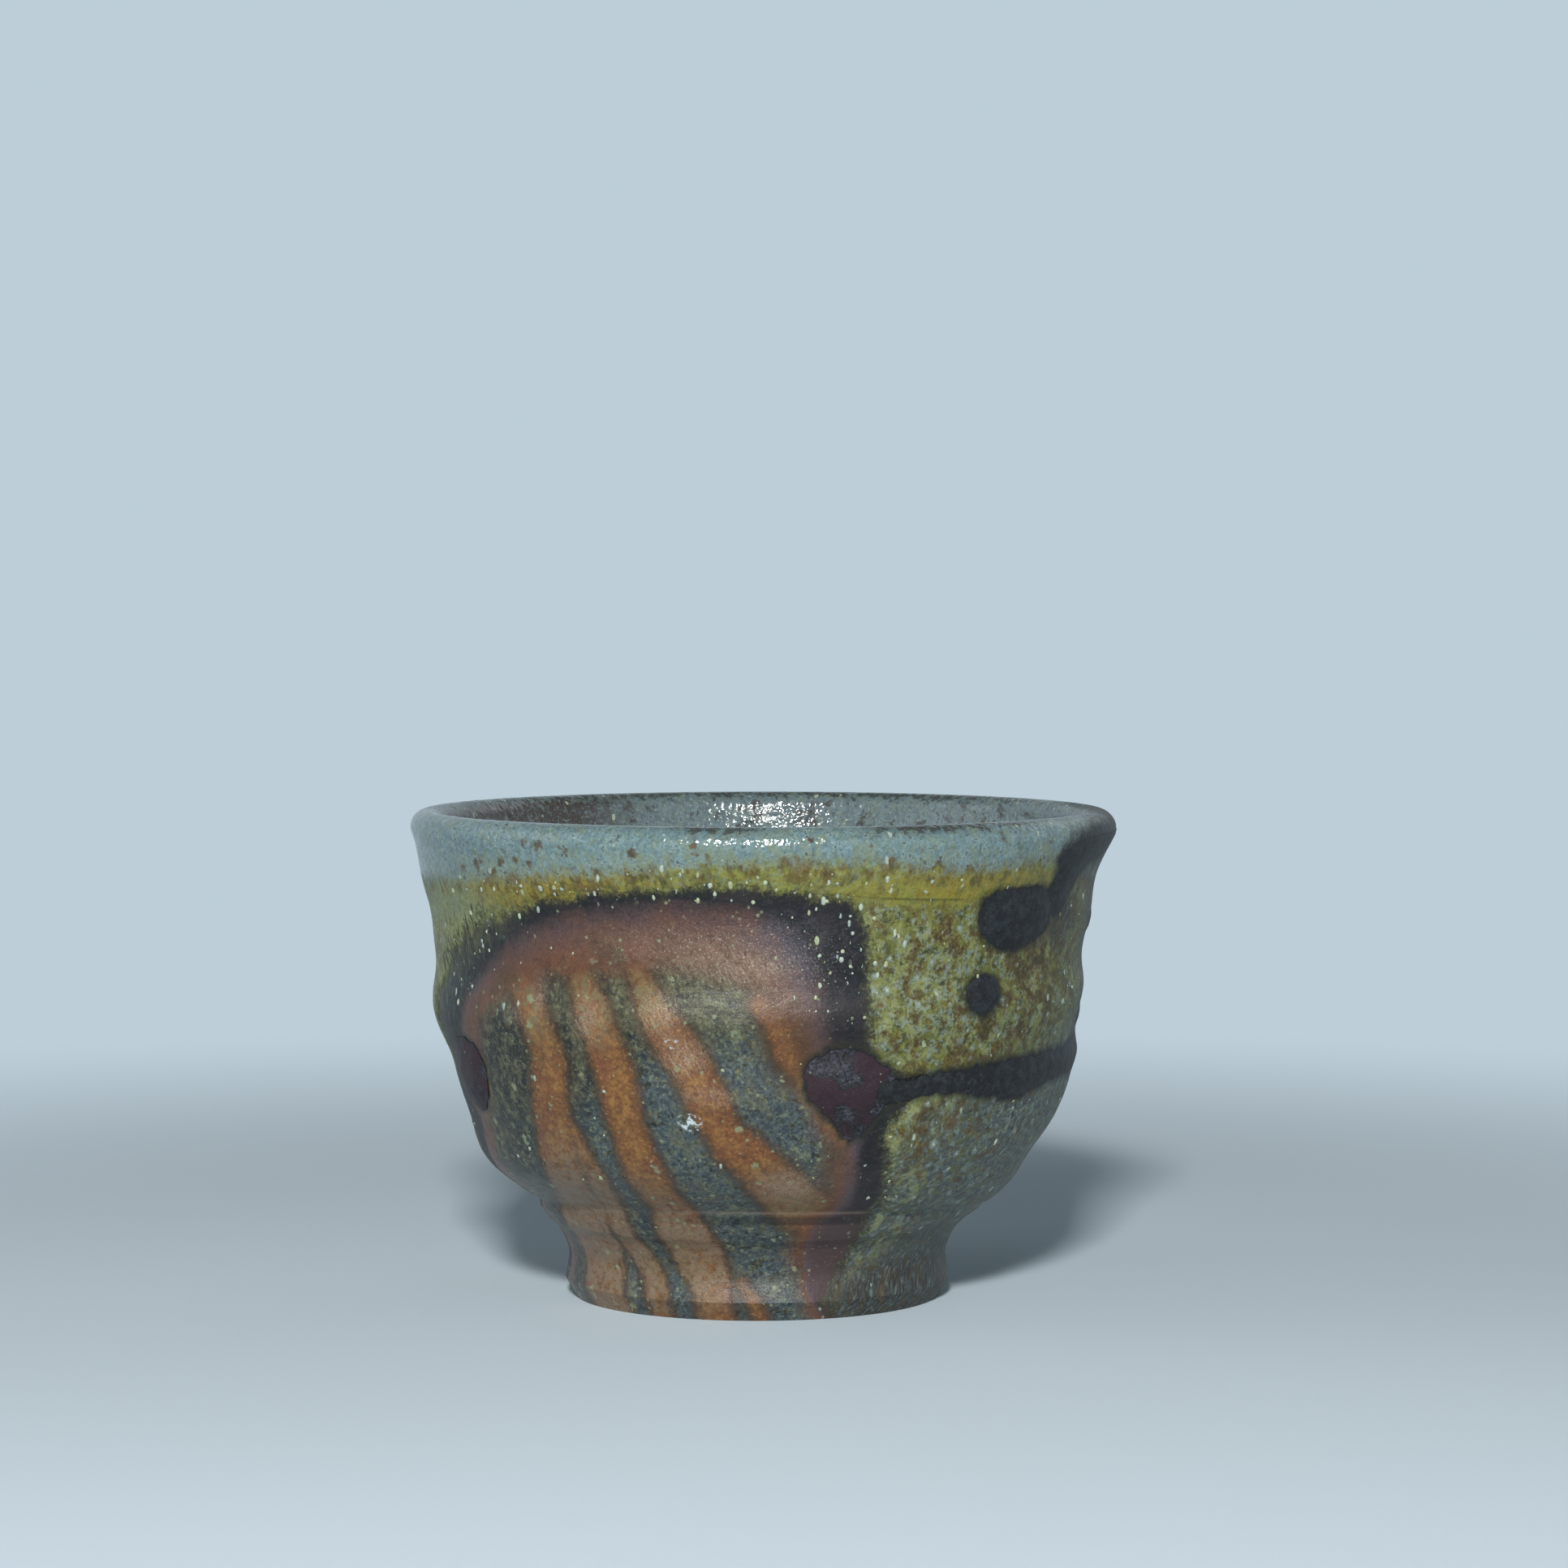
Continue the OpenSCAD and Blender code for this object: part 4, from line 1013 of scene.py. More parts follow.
    # Gloss from 0 to 1, and relief: lines on the clay, lumps on the ash
    dull = coated(tree, grey(0.35), [
        (grey(0.1), 0.9, m.pink, (n.fine, 0.4, 0.6)),
        (grey(0.1), 0.9, m.pale),
        (grey(0.65), 1, (m.field, 1.4, 0.9)),
        (grey(0.6), 1, (f.edge, -0.3, 0.6)),
        (grey(1), 0.45, (n.grit, 0.5, 0.62)),
        (grey(0), 1, (f.brim, -0.5, 1)),
        (grey(0.35), 0.6, (f.brim, -0.5, 1), (n.second, 0.46, 0.56)),
        (grey(0.75), 1, (f.scorch, 0.3, 0.7)),
        (grey(1), 1, m.bare),
    ])
    rough = add(tree, "ShaderNodeMapRange", inputs={"Value": dull, "To Min": GLOSSY, "To Max": MATT})
    lump = add(tree, "ShaderNodeMath", {"operation": "ADD"}, {0: n.mottle, 1: n.third})
    height = coated(tree, n.lines, [
        (n.mottle, 0.8), (lump, 1, (f.edge, -0.3, 0.5)), (lump, 0.7, (f.brim, -0.5, 1)),
        (n.fibres, 0.8, (f.scorch, 0.3, 0.7)), (n.grit, 0.35), (n.fine, 0.15), (n.ripple, 0.85, (f.brim, -0.5, 1)),
    ])
    output = tree.nodes.new("NodeGroupOutput")
    for name, socket in (("Color", shown), ("Roughness", rough), ("Height", height)):
        tree.links.new(socket, output.inputs[name])
    return tree


def surface(build):
    """The material that a function builds and is named after, made the first time that it is asked for."""
    made = bpy.data.materials.get(build.__name__)
    if made is None:
        made = bpy.data.materials.new(build.__name__)
        made.use_nodes = True
        made.node_tree.nodes.clear()
        shader = build(made.node_tree)
        output = made.node_tree.nodes.new("ShaderNodeOutputMaterial")
        made.node_tree.links.new(shader, output.inputs["Surface"])
    return made


# Refraction of glass and of vitrified clay
GLASS_IOR = 1.5


def painted(tree, relief, gloss):
    """A ceramic shader with the fire's paint, painted sheen and shade included, whose relief is that many millimetres
    deep.
    """
    group = bpy.data.node_groups.get("fire_and_light_marks") or fire_and_light_paint()
    paint = add(tree, "ShaderNodeGroup", {"node_tree": group}, out="Color").node.outputs
    bump = add(tree, "ShaderNodeBump", inputs={"Strength": 0.8, "Distance": relief * MM, "Height": paint["Height"]})
    return add(tree, "ShaderNodeBsdfPrincipled", inputs={
        "Base Color": paint["Color"], "Roughness": paint["Roughness"], "Normal": bump, "IOR": GLASS_IOR,
        "Specular IOR Level": gloss,
    })


def fired_stoneware(tree):
    """High-fired stoneware clay, vitrified where it was masked: a soft sheen over fine throwing lines."""
    return painted(tree, 0.25, 0.45)


def natural_ash_glaze(tree):
    """Wood ash that melted on the shoulder: a lumpy, half-matt crust with glassy spots."""
    return painted(tree, 0.3, 0.35)


def lip_ash_glass(tree):
    """The same ash where it melted through: a smooth, glossy blue-grey glass."""
    return painted(tree, 0.22, 0.5)


def kiln_glass(tree):
    """Glass that dripped from the kiln: near black and satin, with plum clouds and fine grains in it."""
    c = palette()
    plain = stretched(tree, (1, 1, 1))
    n = clouds(tree, {"grains": (plain, 0.3, 4, 0.75), "clumps": (plain, 1.2, 4, 0.7), "broad": (plain, 3.2, 3, 0.6)})
    light = dotted(tree, plain, 0.7, 0.24, 0.4, 5)
    bead = add(tree, "ShaderNodeAttribute", {"attribute_name": "bead"}, out="Fac")
    shown = coated(tree, c.glass, [
        (c.clay_blue, 0.15, (n.clumps, 0.4, 0.7)),
        (c.glass_plum, 0.95, (n.broad, 0.42, 0.56), bead),
        (c.glass_grit, 0.85, (n.broad, 0.5, 0.36), (n.grains, 0.42, 0.58), bead),
        (c.glass_grit, 0.22, (n.grains, 0.5, 0.7)),
        (c.droplet, 0.45, (light, 1.1, 0.6), (bead, -0.3, 1)),
    ])
    bump = add(tree, "ShaderNodeBump", inputs={"Strength": 0.8, "Distance": 0.12 * MM, "Height": n.grains})
    return add(tree, "ShaderNodeBsdfPrincipled", inputs={
        "Base Color": shown, "Roughness": 0.5, "Normal": bump, "IOR": GLASS_IOR, "Specular IOR Level": 0.35,
    })


def lining_glaze(tree):
    """The ash glaze inside: crackled grey-green glass, scorched at the left, deeper where it pooled."""
    c = palette()
    plain, fallen = stretched(tree, (1, 1, 1)), stretched(tree, (1, 1, 0.3))
    n = clouds(tree, {
        "mottle": (plain, 1.4, 5, 0.62), "streaks": (fallen, 0.9, 4, 0.65), "broad": (plain, 9, 2, 0.55),
        "grit": (plain, 0.4, 4, 0.75), "ripple": (plain, 0.7, 1, 0.5),
    })
    place = add(tree, "ShaderNodeTexCoord", out="Object")
    axes = add(tree, "ShaderNodeSeparateXYZ", inputs={0: place}).node.outputs
    deep = frayed(tree, axes["Z"], (n.mottle, 1.5 * MM))
    left = frayed(tree, axes["X"], (n.streaks, 8 * MM))
    pooled, scorched = (deep, 18 * MM, 13.5 * MM), (left, -4 * MM, -24 * MM)
    crackle_w = 2.6
    cells = add(tree, "ShaderNodeTexVoronoi", {"feature": "DISTANCE_TO_EDGE"},
                {"Vector": plain, "Scale": 1 / crackle_w}, "Distance")
    spots, light = dotted(tree, plain, 2.8, 1.5, 0.45, 31), dotted(tree, plain, 1, 0.4, 0.35, 37)
    shown = coated(tree, c.inside, [
        (c.lip_pale, 0.6, (n.mottle, 0.5, 0.66)),
        (c.inside_brown, 0.9, (n.streaks, 0.53, 0.64), (n.broad, 0.4, 0.6)),
        (c.inside_brown, 0.95, scorched, (n.streaks, 0.3, 0.5)),
        (c.ash_slate, 0.5, scorched, (n.mottle, 0.55, 0.65)),
        (c.iron, 0.8, (frayed(tree, spots, (n.mottle, 1)), 1.2, 0.7)),
        (c.ash_slate, 0.6, (n.grit, 0.47, 0.36)),
        (c.droplet, 0.6, (light, 1.1, 0.7)),
        (c.pool, 0.85, pooled),
        (c.ash_dark, 0.7, (cells, 0.035, 0.01), pooled),
    ])
    rough = add(tree, "ShaderNodeMapRange", inputs={"Value": n.mottle, "To Min": 0.12, "To Max": 0.26})
    bump = add(tree, "ShaderNodeBump", inputs={"Strength": 1.0, "Distance": 0.18 * MM, "Height": n.ripple})
    return add(tree, "ShaderNodeBsdfPrincipled", inputs={
        "Base Color": shown, "Roughness": rough, "Normal": bump, "IOR": GLASS_IOR, "Specular IOR Level": 0.27,
    })


def ash_droplet_glass(tree):
    """Droplets of melted ash: pale green-white glass beads, glossy."""
    c = palette()
    n = clouds(tree, {"tint": (stretched(tree, (1, 1, 1)), 1.5, 2, 0.5)})
    shown = coated(tree, c.droplet, [(c.ash_grey, 1, (n.tint, 0.46, 0.62)), (c.ash_yellow, 0.5, (n.tint, 0.5, 0.4))])
    return add(tree, "ShaderNodeBsdfPrincipled", inputs={"Base Color": shown, "Roughness": 0.25, "IOR": GLASS_IOR})


def backdrop_paper(tree):
    """A plain pale sweep of matt paper. Seen straight or in a gloss, its far part shows its own colour in full."""
    c = palette()
    plain = stretched(tree, (1, 1, 1))
    paper = add(tree, "ShaderNodeBsdfPrincipled", inputs={"Base Color": c.cloth, "Roughness": 0.9, "IOR": 1.4})
    glow = add(tree, "ShaderNodeEmission", inputs={"Color": c.backdrop, "Strength": 1.0})
    reach = add(tree, "ShaderNodeVectorMath", {"operation": "LENGTH"}, {0: plain}, "Value")
    near_mm, far_mm = 90.0, 300.0
    far = add(tree, "ShaderNodeMapRange", {"interpolation_type": "SMOOTHSTEP"},
              {"Value": reach, "From Min": near_mm, "From Max": far_mm})
    ray = add(tree, "ShaderNodeLightPath").node.outputs
    seen = add(tree, "ShaderNodeMath", {"operation": "MAXIMUM"}, {0: ray["Is Camera Ray"], 1: ray["Is Glossy Ray"]})
    seen = add(tree, "ShaderNodeMath", {"operation": "MAXIMUM"}, {0: seen, 1: ray["Is Transmission Ray"]})
    share = add(tree, "ShaderNodeMath", {"operation": "MULTIPLY"}, {0: far, 1: seen})
    return add(tree, "ShaderNodeMixShader", inputs={0: share, 1: paper, 2: glow})


# Geometry Nodes trees


def started(name, **numbers):
    """A Geometry Nodes tree with a geometry, named numbers and a material for its inputs, and what they give."""
    tree = bpy.data.node_groups.new(name, "GeometryNodeTree")
    inputs = {"Geometry": "Geometry", **{key.replace("_", " "): kind for key, kind in numbers.items()},
              "Material": "Material"}
    for key, kind in inputs.items():
        tree.interface.new_socket(key, in_out="INPUT", socket_type="NodeSocket" + kind)
    tree.interface.new_socket("Geometry", in_out="OUTPUT", socket_type="NodeSocketGeometry")
    return tree, tree.nodes.new("NodeGroupInput").outputs


def ended(tree, geometry, material):
    """The tree, with geometry made real and dressed in the material as its output."""
    made = add(tree, "GeometryNodeRealizeInstances", inputs={"Geometry": geometry})
    dressed = add(tree, "GeometryNodeSetMaterial", inputs={"Geometry": made, "Material": material})
    tree.links.new(dressed, tree.nodes.new("NodeGroupOutput").inputs["Geometry"])
    return tree


def grain_tree():
    """Raises and sinks a piece's points along their normals by a soft noise, for the grain of clay and ash."""
    tree, given = started("grain_tree", Grain_Height="Float", Grain_Width="Float")
    weight = add(tree, "GeometryNodeInputNamedAttribute", {"data_type": "FLOAT"}, {"Name": "grain"}, "Attribute")
    place = add(tree, "GeometryNodeInputPosition")
    finer = add(tree, "ShaderNodeMath", {"operation": "DIVIDE"}, {0: 1.0, 1: given["Grain Width"]})
    noise = add(tree, "ShaderNodeTexNoise", inputs={"Vector": place, "Scale": finer, "Detail": 3.0}, out="Fac")
    centred = add(tree, "ShaderNodeMath", {"operation": "SUBTRACT"}, {0: noise, 1: 0.5})
    raised = add(tree, "ShaderNodeMath", {"operation": "MULTIPLY"}, {0: centred, 1: given["Grain Height"]})
    raised = add(tree, "ShaderNodeMath", {"operation": "MULTIPLY"}, {0: raised, 1: weight})
    normal = add(tree, "GeometryNodeInputNormal")
    offset = add(tree, "ShaderNodeVectorMath", {"operation": "SCALE"}, {0: normal, "Scale": raised})
    moved = add(tree, "GeometryNodeSetPosition", inputs={"Geometry": given["Geometry"], "Offset": offset})
    return ended(tree, moved, given["Material"])


def droplet_tree():
    """Scatters flattened beads over a surface, as thickly as its attribute says."""
    tree, given = started("droplet_tree", Density="Float", Least_Width="Float", Greatest_Width="Float",
                          Flatness="Float", Unevenness="Float", Seed="Int")
    share = add(tree, "GeometryNodeInputNamedAttribute", {"data_type": "FLOAT"}, {"Name": "drops"}, "Attribute")
    density = add(tree, "ShaderNodeMath", {"operation": "MULTIPLY"}, {0: share, 1: given["Density"]})
    points = add(tree, "GeometryNodeDistributePointsOnFaces", {"distribute_method": "RANDOM"},
                 {"Mesh": given["Geometry"], "Density": density, "Seed": given["Seed"]}).node.outputs
    ball = add(tree, "GeometryNodeMeshUVSphere", inputs={"Segments": 8, "Rings": 6, "Radius": 0.5})
    chance = add(tree, "FunctionNodeRandomValue", {"data_type": "FLOAT"},
                 {"Min": 0.0, "Max": 1.0, "Seed": given["Seed"]}, "Value")
    rare = add(tree, "ShaderNodeMath", {"operation": "POWER"}, {0: chance, 1: 3.2})
    limits = {"Value": rare, "To Min": given["Least Width"], "To Max": given["Greatest Width"]}
    width = add(tree, "ShaderNodeMapRange", inputs=limits)
    flat = add(tree, "ShaderNodeMath", {"operation": "MULTIPLY"}, {0: width, 1: given["Flatness"]})
    longer = add(tree, "FunctionNodeRandomValue", {"data_type": "FLOAT"},
                 {"Min": 0.8, "Max": 2.0, "Seed": 77}, "Value")
    long = add(tree, "ShaderNodeMath", {"operation": "MULTIPLY"}, {0: width, 1: longer})
    scale = add(tree, "ShaderNodeCombineXYZ", inputs={"X": width, "Y": long, "Z": flat})
    placed = add(tree, "GeometryNodeInstanceOnPoints", inputs={
        "Points": points["Points"], "Instance": ball, "Rotation": points["Rotation"], "Scale": scale})
    made = add(tree, "GeometryNodeRealizeInstances", inputs={"Geometry": placed})
    sway = add(tree, "ShaderNodeTexNoise", inputs={"Scale": 1 / (0.35 * MM), "Detail": 1.0}, out="Color")
    sway = add(tree, "ShaderNodeVectorMath", {"operation": "SUBTRACT"}, {0: sway, 1: (0.5, 0.5, 0.5)})
    sway = add(tree, "ShaderNodeVectorMath", {"operation": "SCALE"}, {0: sway, "Scale": given["Unevenness"]})
    made = add(tree, "GeometryNodeSetPosition", inputs={"Geometry": made, "Offset": sway})
    smoothed = add(tree, "GeometryNodeSetShadeSmooth", inputs={"Geometry": made})
    return ended(tree, smoothed, given["Material"])


def revolve_tree():
    """Turns a profile, drawn as edges to the right of the axis, into a ring about Z."""
    tree, given = started("revolve_tree", Columns="Int", Path_Radius="Float", Shift="Float")
    profile = add(tree, "GeometryNodeMeshToCurve", inputs={"Mesh": given["Geometry"]})
    size = {"Resolution": given["Columns"], "Radius": given["Path Radius"]}
    path = add(tree, "GeometryNodeCurvePrimitiveCircle", inputs=size)
    ring = add(tree, "GeometryNodeCurveToMesh", inputs={"Curve": path, "Profile Curve": profile})
    shift = add(tree, "ShaderNodeCombineXYZ", inputs={"X": given["Shift"]})
    moved = add(tree, "GeometryNodeTransform", inputs={"Geometry": ring, "Translation": shift})
    return ended(tree, moved, given["Material"])


def grown(made, build, settings):
    """Runs a Geometry Nodes tree on an object and keeps the result as its plain mesh."""
    tree = bpy.data.node_groups.get(build.__name__) or build()
    modifier = made.modifiers.new(tree.name, "NODES")
    modifier.node_group = tree
    for item in tree.interface.items_tree:
        if item.in_out == "INPUT" and item.name in settings:
            modifier[item.identifier] = settings[item.name]
    graph = bpy.context.evaluated_depsgraph_get()
    result = bpy.data.meshes.new_from_object(made.evaluated_get(graph), depsgraph=graph)
    made.modifiers.remove(modifier)
    before, made.data = made.data, result
    result.name = made.name
    bpy.data.meshes.remove(before)
    return made


def finished(made, build, nodes, grain=1.0):
    """Gives a piece its grain, its material and its body, and hides the nodes that it stands for."""
    mark(made, {"grain": np.full(len(made.data.vertices), grain)})
    grain_t = bpy.context.scene.guinomi_sizes.grain_t
    grown(made, grain_tree, {"Grain Height": grain_t * 2, "Grain Width": GRAIN_W * MM, "Material": surface(build)})
    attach(made, "root")
    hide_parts(*nodes)
    return made


# Operators, one for each piece or group of like pieces, and one for the stage


class GuinomiBowl(bpy.types.Operator):
    """Throw the bowl, from the hollow of its foot over the lip to its floor"""

    bl_idname = "guinomi.bowl"
    bl_label = "Bowl"

    def execute(self, context):
        form = Form(context.scene.guinomi_sizes)
        size = form.size
        slip_gap, corner, ledge_in, ledge_drop = 0.1, 0.6, 0.5, 0.45
        boss_r = size.foot_base_d / 2 - size.foot_bevel_in - size.foot_wall_t - slip_gap
        under = np.array([
            (0, size.hollow_h - size.cone_h), (size.cone_d / 4, size.hollow_h - size.cone_h * 0.7),
            (size.cone_d / 2, size.hollow_h), (boss_r - corner, size.hollow_h), (boss_r, size.hollow_h + corner),
            (boss_r, size.foot_h), (size.foot_top_d / 2, size.foot_h),
            (form.ledge_r - ledge_in, size.ledge_h - ledge_drop),
        ])
        wall_rows, lip_rows, inner_rows = 118, 6, 26
        wall = np.concatenate([
            np.linspace(0, 1, wall_rows)[:-1], np.linspace(1, 2, lip_rows)[:-1], np.linspace(2, 3, inner_rows)])
        rows = np.concatenate([stepped(under, UNDER_STEP), under[-1:], form.section(wall)])
        a, i = np.meshgrid(angles_around(), np.arange(len(rows)), indexing="ij")
        points = form.place(a, rows[i]).reshape(-1, 3)
        # The ledge mark places the painted shadow under the ledge and the painted highlight on its edge
        near = (rows[:, 0] > size.foot_top_d / 2) & (rows[:, 1] < size.ledge_h + 1)
        above = near * (LEDGE_MARK + rows[:, 1] - size.ledge_h)
        marks = {**marks_of(a.ravel(), points), "ledge": above[i].ravel()}
        made = piece("bowl_clay", points, lattice(COLUMNS, len(rows)), marks, 40)
        weld(made)
        finished(made, fired_stoneware, ["bowl"])
        return {"FINISHED"}


class GuinomiFoot(bpy.types.Operator):
    """Turn the foot ring that the bowl stands on"""

    bl_idname = "guinomi.foot"
    bl_label = "Foot ring"

    def execute(self, context):
        size = Form(context.scene.guinomi_sizes).size
        base_r, waist_r, top_r = size.foot_base_d / 2, size.foot_waist_d / 2, size.foot_top_d / 2
        tread_r = base_r - size.foot_bevel_in
        bore_r = tread_r - size.foot_wall_t
        side_rows, round_rows, columns, worn_h = 22, 7, 420, 0.3
        outer = through([
            (base_r, size.foot_bevel_h), (waist_r, mix(size.foot_bevel_h, size.foot_h, 0.42)),
            (mix(waist_r, top_r, 0.45), mix(size.foot_bevel_h, size.foot_h, 0.8)), (top_r, size.foot_h),
        ], np.linspace(0, 1, side_rows))
        quarter = np.radians(np.linspace(90, 0, round_rows))
        inner = np.stack([
            bore_r + size.foot_round * (1 - np.sin(quarter)), size.foot_round * (1 - np.cos(quarter)),
        ], -1)
        tread = (tread_r, 0)
        corners = np.concatenate([[tread, (tread_r + 0.08, 0.04)], outer, [(bore_r, size.foot_h)], inner, [tread]])
        profile = stepped(corners, FOOT_STEP)
        mesh = bpy.data.meshes.new("foot_profile")
        mesh.from_pydata([((r - waist_r) * MM, -z * MM, 0) for r, z in profile],
                         [(i, (i + 1) % len(profile)) for i in range(len(profile))], [])
        made = bpy.data.objects.new("foot_turned", mesh)
        context.scene.collection.objects.link(made)
        grown(made, revolve_tree, {
            "Columns": columns, "Path Radius": waist_r * MM, "Shift": -size.foot_shift * MM,
            "Material": surface(fired_stoneware),
        })
        weld(made)
        made.data.shade_smooth()
        made.data.set_sharp_from_angle(angle=math.radians(35))
        co = np.zeros(len(made.data.vertices) * 3, np.float32)
        made.data.vertices.foreach_get("co", co)
        points = co.reshape(-1, 3).astype(float) / MM
        mark(made, marks_of(np.degrees(np.arctan2(points[:, 0] + size.foot_shift, -points[:, 1])), points))
        finished(made, fired_stoneware, ["foot_ring"], np.where(points[:, 2] < worn_h, 0, 1))
        return {"FINISHED"}


class GuinomiLipGlass(bpy.types.Operator):
    """Lay the glass over the lip"""

    bl_idname = "guinomi.lip_glass"
    bl_label = "Lip glass"

    def execute(self, context):
        form = Form(context.scene.guinomi_sizes)
        size, low, high = form.size, form.band_low, form.band_high
        rows = np.concatenate([np.linspace(low, 1, 20)[:-1], np.linspace(1, 2, 15)[:-1], np.linspace(2, high, 14)])
        spots = spread(angles_around(), rows)
        angle, s = spots.T
        marks = marks_of(angle, form.place(angle, form.section(s)))
        thick = mix(size.glaze_t, size.lip_glaze_t - LIP_SPARE, np.sin(np.pi * (s - low) / (high - low)))
        thick = mix(EDGE_T, thick, smooth((marks["ash"] + s - low) / FEATHER))

        # The marks of the wall fade out on top of the lip, whose crest is
        # brown at the sides and at one place in front
        blue_from, inner_from, crest_side, crest_front, crest_w, end_share = 1.3, 1.45, 1.55, 1.4, 0.18, 0.02
        inner = smooth((s - inner_from) / 0.5)
        outer = {key: marks[key] * (1 - inner) for key in ("scorch", "smooth", "khaki", "back")}
        outer["lip"] = np.maximum(marks["lip"], mix(-FAR, 5, smooth((s - blue_from) / 0.2)))
        outer["glass"] = mix(marks["glass"], -FAR, inner)
        brown = np.maximum(smooth((angle - 12) / 12), smooth((np.abs(angle) - 80) / 15))
        brown = np.maximum(brown, 0.9 * np.exp(-((angle + 7) / 7) ** 2))
        crest = mix(crest_side, crest_front, smooth((60 - np.abs(angle)) / 25))
        crown = np.exp(-((s - crest) / crest_w) ** 2) * brown
        seat = np.full(len(spots), SEAT)
        faces = lattice(COLUMNS, len(rows))
        made = shell("lip_glass", form, spots, faces, seat, seat + thick, inner=inner, crown=crown, **outer)
        grain = np.tile(0.5 * smooth((s - low) / end_share) * smooth((high - s) / end_share), 2)
        finished(made, lip_ash_glass, ["lip_glaze"], grain)
        return {"FINISHED"}


class GuinomiAshGlaze(bpy.types.Operator):
    """Melt the ash glaze onto the wall, outside the masked field"""

    bl_idname = "guinomi.ash_glaze"
    bl_label = "Ash glaze"

    def execute(self, context):
        form = Form(context.scene.guinomi_sizes)
        rows = np.linspace(0.004, form.band_low, 92)
        spots = spread(angles_around(), rows)
        reach = marks_of(spots[:, 0], form.place(spots[:, 0], form.section(spots[:, 1])))["ash"]
        spots, faces = clipped(np.column_stack([spots, reach]), lattice(COLUMNS, len(rows)), reach)
        s, reach = spots[:, 1], spots[:, 2]
        thick = mix(EDGE_T, form.size.glaze_t, smooth(reach / FEATHER) * smooth(s / 0.04))
        seat = SEAT - SUNK * (1 - smooth(reach))
        made = shell("ash_glaze", form, spots[:, :2], faces, seat, seat + thick)
        grain = np.tile(smooth((form.band_low - s) / 0.02), 2)
        finished(made, natural_ash_glaze, ["ash_coat"], grain)
        return {"FINISHED"}


class GuinomiLining(bpy.types.Operator):
    """Line the inside with glaze, pooled on the floor"""

    bl_idname = "guinomi.lining"
    bl_label = "Lining glaze"

    def execute(self, context):
        form = Form(context.scene.guinomi_sizes)
        size = form.size
        pool_share, columns = 0.35, 360
        rows = np.linspace(form.band_high, 2.995, 84)
        thick = size.glaze_t + size.pool_t * smooth((rows - 3 + pool_share) / pool_share)
        line = np.concatenate([
            [(0, form.floor_h + SEAT)], form.proud(rows, np.full(len(rows), SEAT))[::-1],
            form.proud(rows, SEAT + thick), [(0, form.floor_h + SEAT + thick[-1])],
        ])
        a, i = np.meshgrid(angles_around(columns), np.arange(len(line)), indexing="ij")
        points = form.place(a, line[i]).reshape(-1, 3)
        made = piece("lining_glaze", points, lattice(columns, len(line)), {})
        weld(made)
        finished(made, lining_glaze, ["inner_glaze"])
        return {"FINISHED"}


def glass_patch(name, form, span, shapes, thick, lies_on, node, ragged=1):
    """A low dome of kiln glass over shapes on the wall, within a span of angles and one of heights."""
    (a0, a1), (z0, z1) = span
    per_degree, per_mm, slope_w, rim_t = 2.4, 4.5, 2.6, 0.01
    angles = np.linspace(a0, a1, int((a1 - a0) * per_degree))
    rows = np.linspace(form.share_at(z0), form.share_at(z1), int((z1 - z0) * per_mm))
    spots = spread(angles, rows)
    angle, z, r = on_wall(spots[:, 0], form.place(spots[:, 0], form.section(spots[:, 1])))
    reach = into(angle, z, r, *shapes) + ragged * glass_wander(angle, z)
    spots, faces = clipped(np.column_stack([spots, reach]), lattice(len(angles), len(rows), False), reach)
    rise = smooth(spots[:, 2] / slope_w) ** 0.7
    low = np.full(len(spots), lies_on)
    bead = np.full(len(spots), float(lies_on < form.size.glaze_t))
    made = shell(name, form, spots[:, :2], faces, low, low + mix(rim_t, thick, rise), bead=bead)
    finished(made, kiln_glass, [node], 0.5)


class GuinomiBeads(bpy.types.Operator):
    """Drop the beads of dark kiln glass"""

    bl_idname = "guinomi.beads"
    bl_label = "Glass beads"

    def execute(self, context):
        form = Form(context.scene.guinomi_sizes)
        bead_t, on_clay, on_ash = form.size.bead_t, SEAT * 2, form.size.glaze_t + SEAT
        for name, outline, lies_on, node in (
            ("large_glass_bead", LARGE_BEAD, on_clay, "large_bead"),
            ("left_glass_bead", LEFT_BEAD, on_clay, "left_bead"),
            ("upper_glass_bead", UPPER_BEAD, on_ash, "upper_bead"),
            ("small_glass_bead", SMALL_BEAD, on_ash, "small_bead"),
        ):
            places = np.array(outline)
            span = [(places[:, i].min() - 2, places[:, i].max() + 2) for i in (0, 1)]
            glass_patch(name, form, span, [outline], bead_t, lies_on, node)
        glass_patch("side_glass_beads", form, [(80, 92), (27, 44)], SIDE_NUBS, bead_t, on_ash, "side_beads", 0)
        return {"FINISHED"}


class GuinomiRuns(bpy.types.Operator):
    """Let the runs of dark kiln glass flow"""

    bl_idname = "guinomi.runs"
    bl_label = "Glass runs"

    def execute(self, context):
        form = Form(context.scene.guinomi_sizes)
        run_t, on_ash = form.size.run_t, form.size.glaze_t + SEAT
        glass_patch("lower_glass_run", form, [(18, 114), (21, 31)], [LOWER_RUN], run_t, on_ash, "lower_run")
        span = [(50, 98), (40, form.lip_base_h)]
        glass_patch("upper_glass_run", form, span, [UPPER_RUN], run_t * 0.5, on_ash, "upper_run")
        return {"FINISHED"}


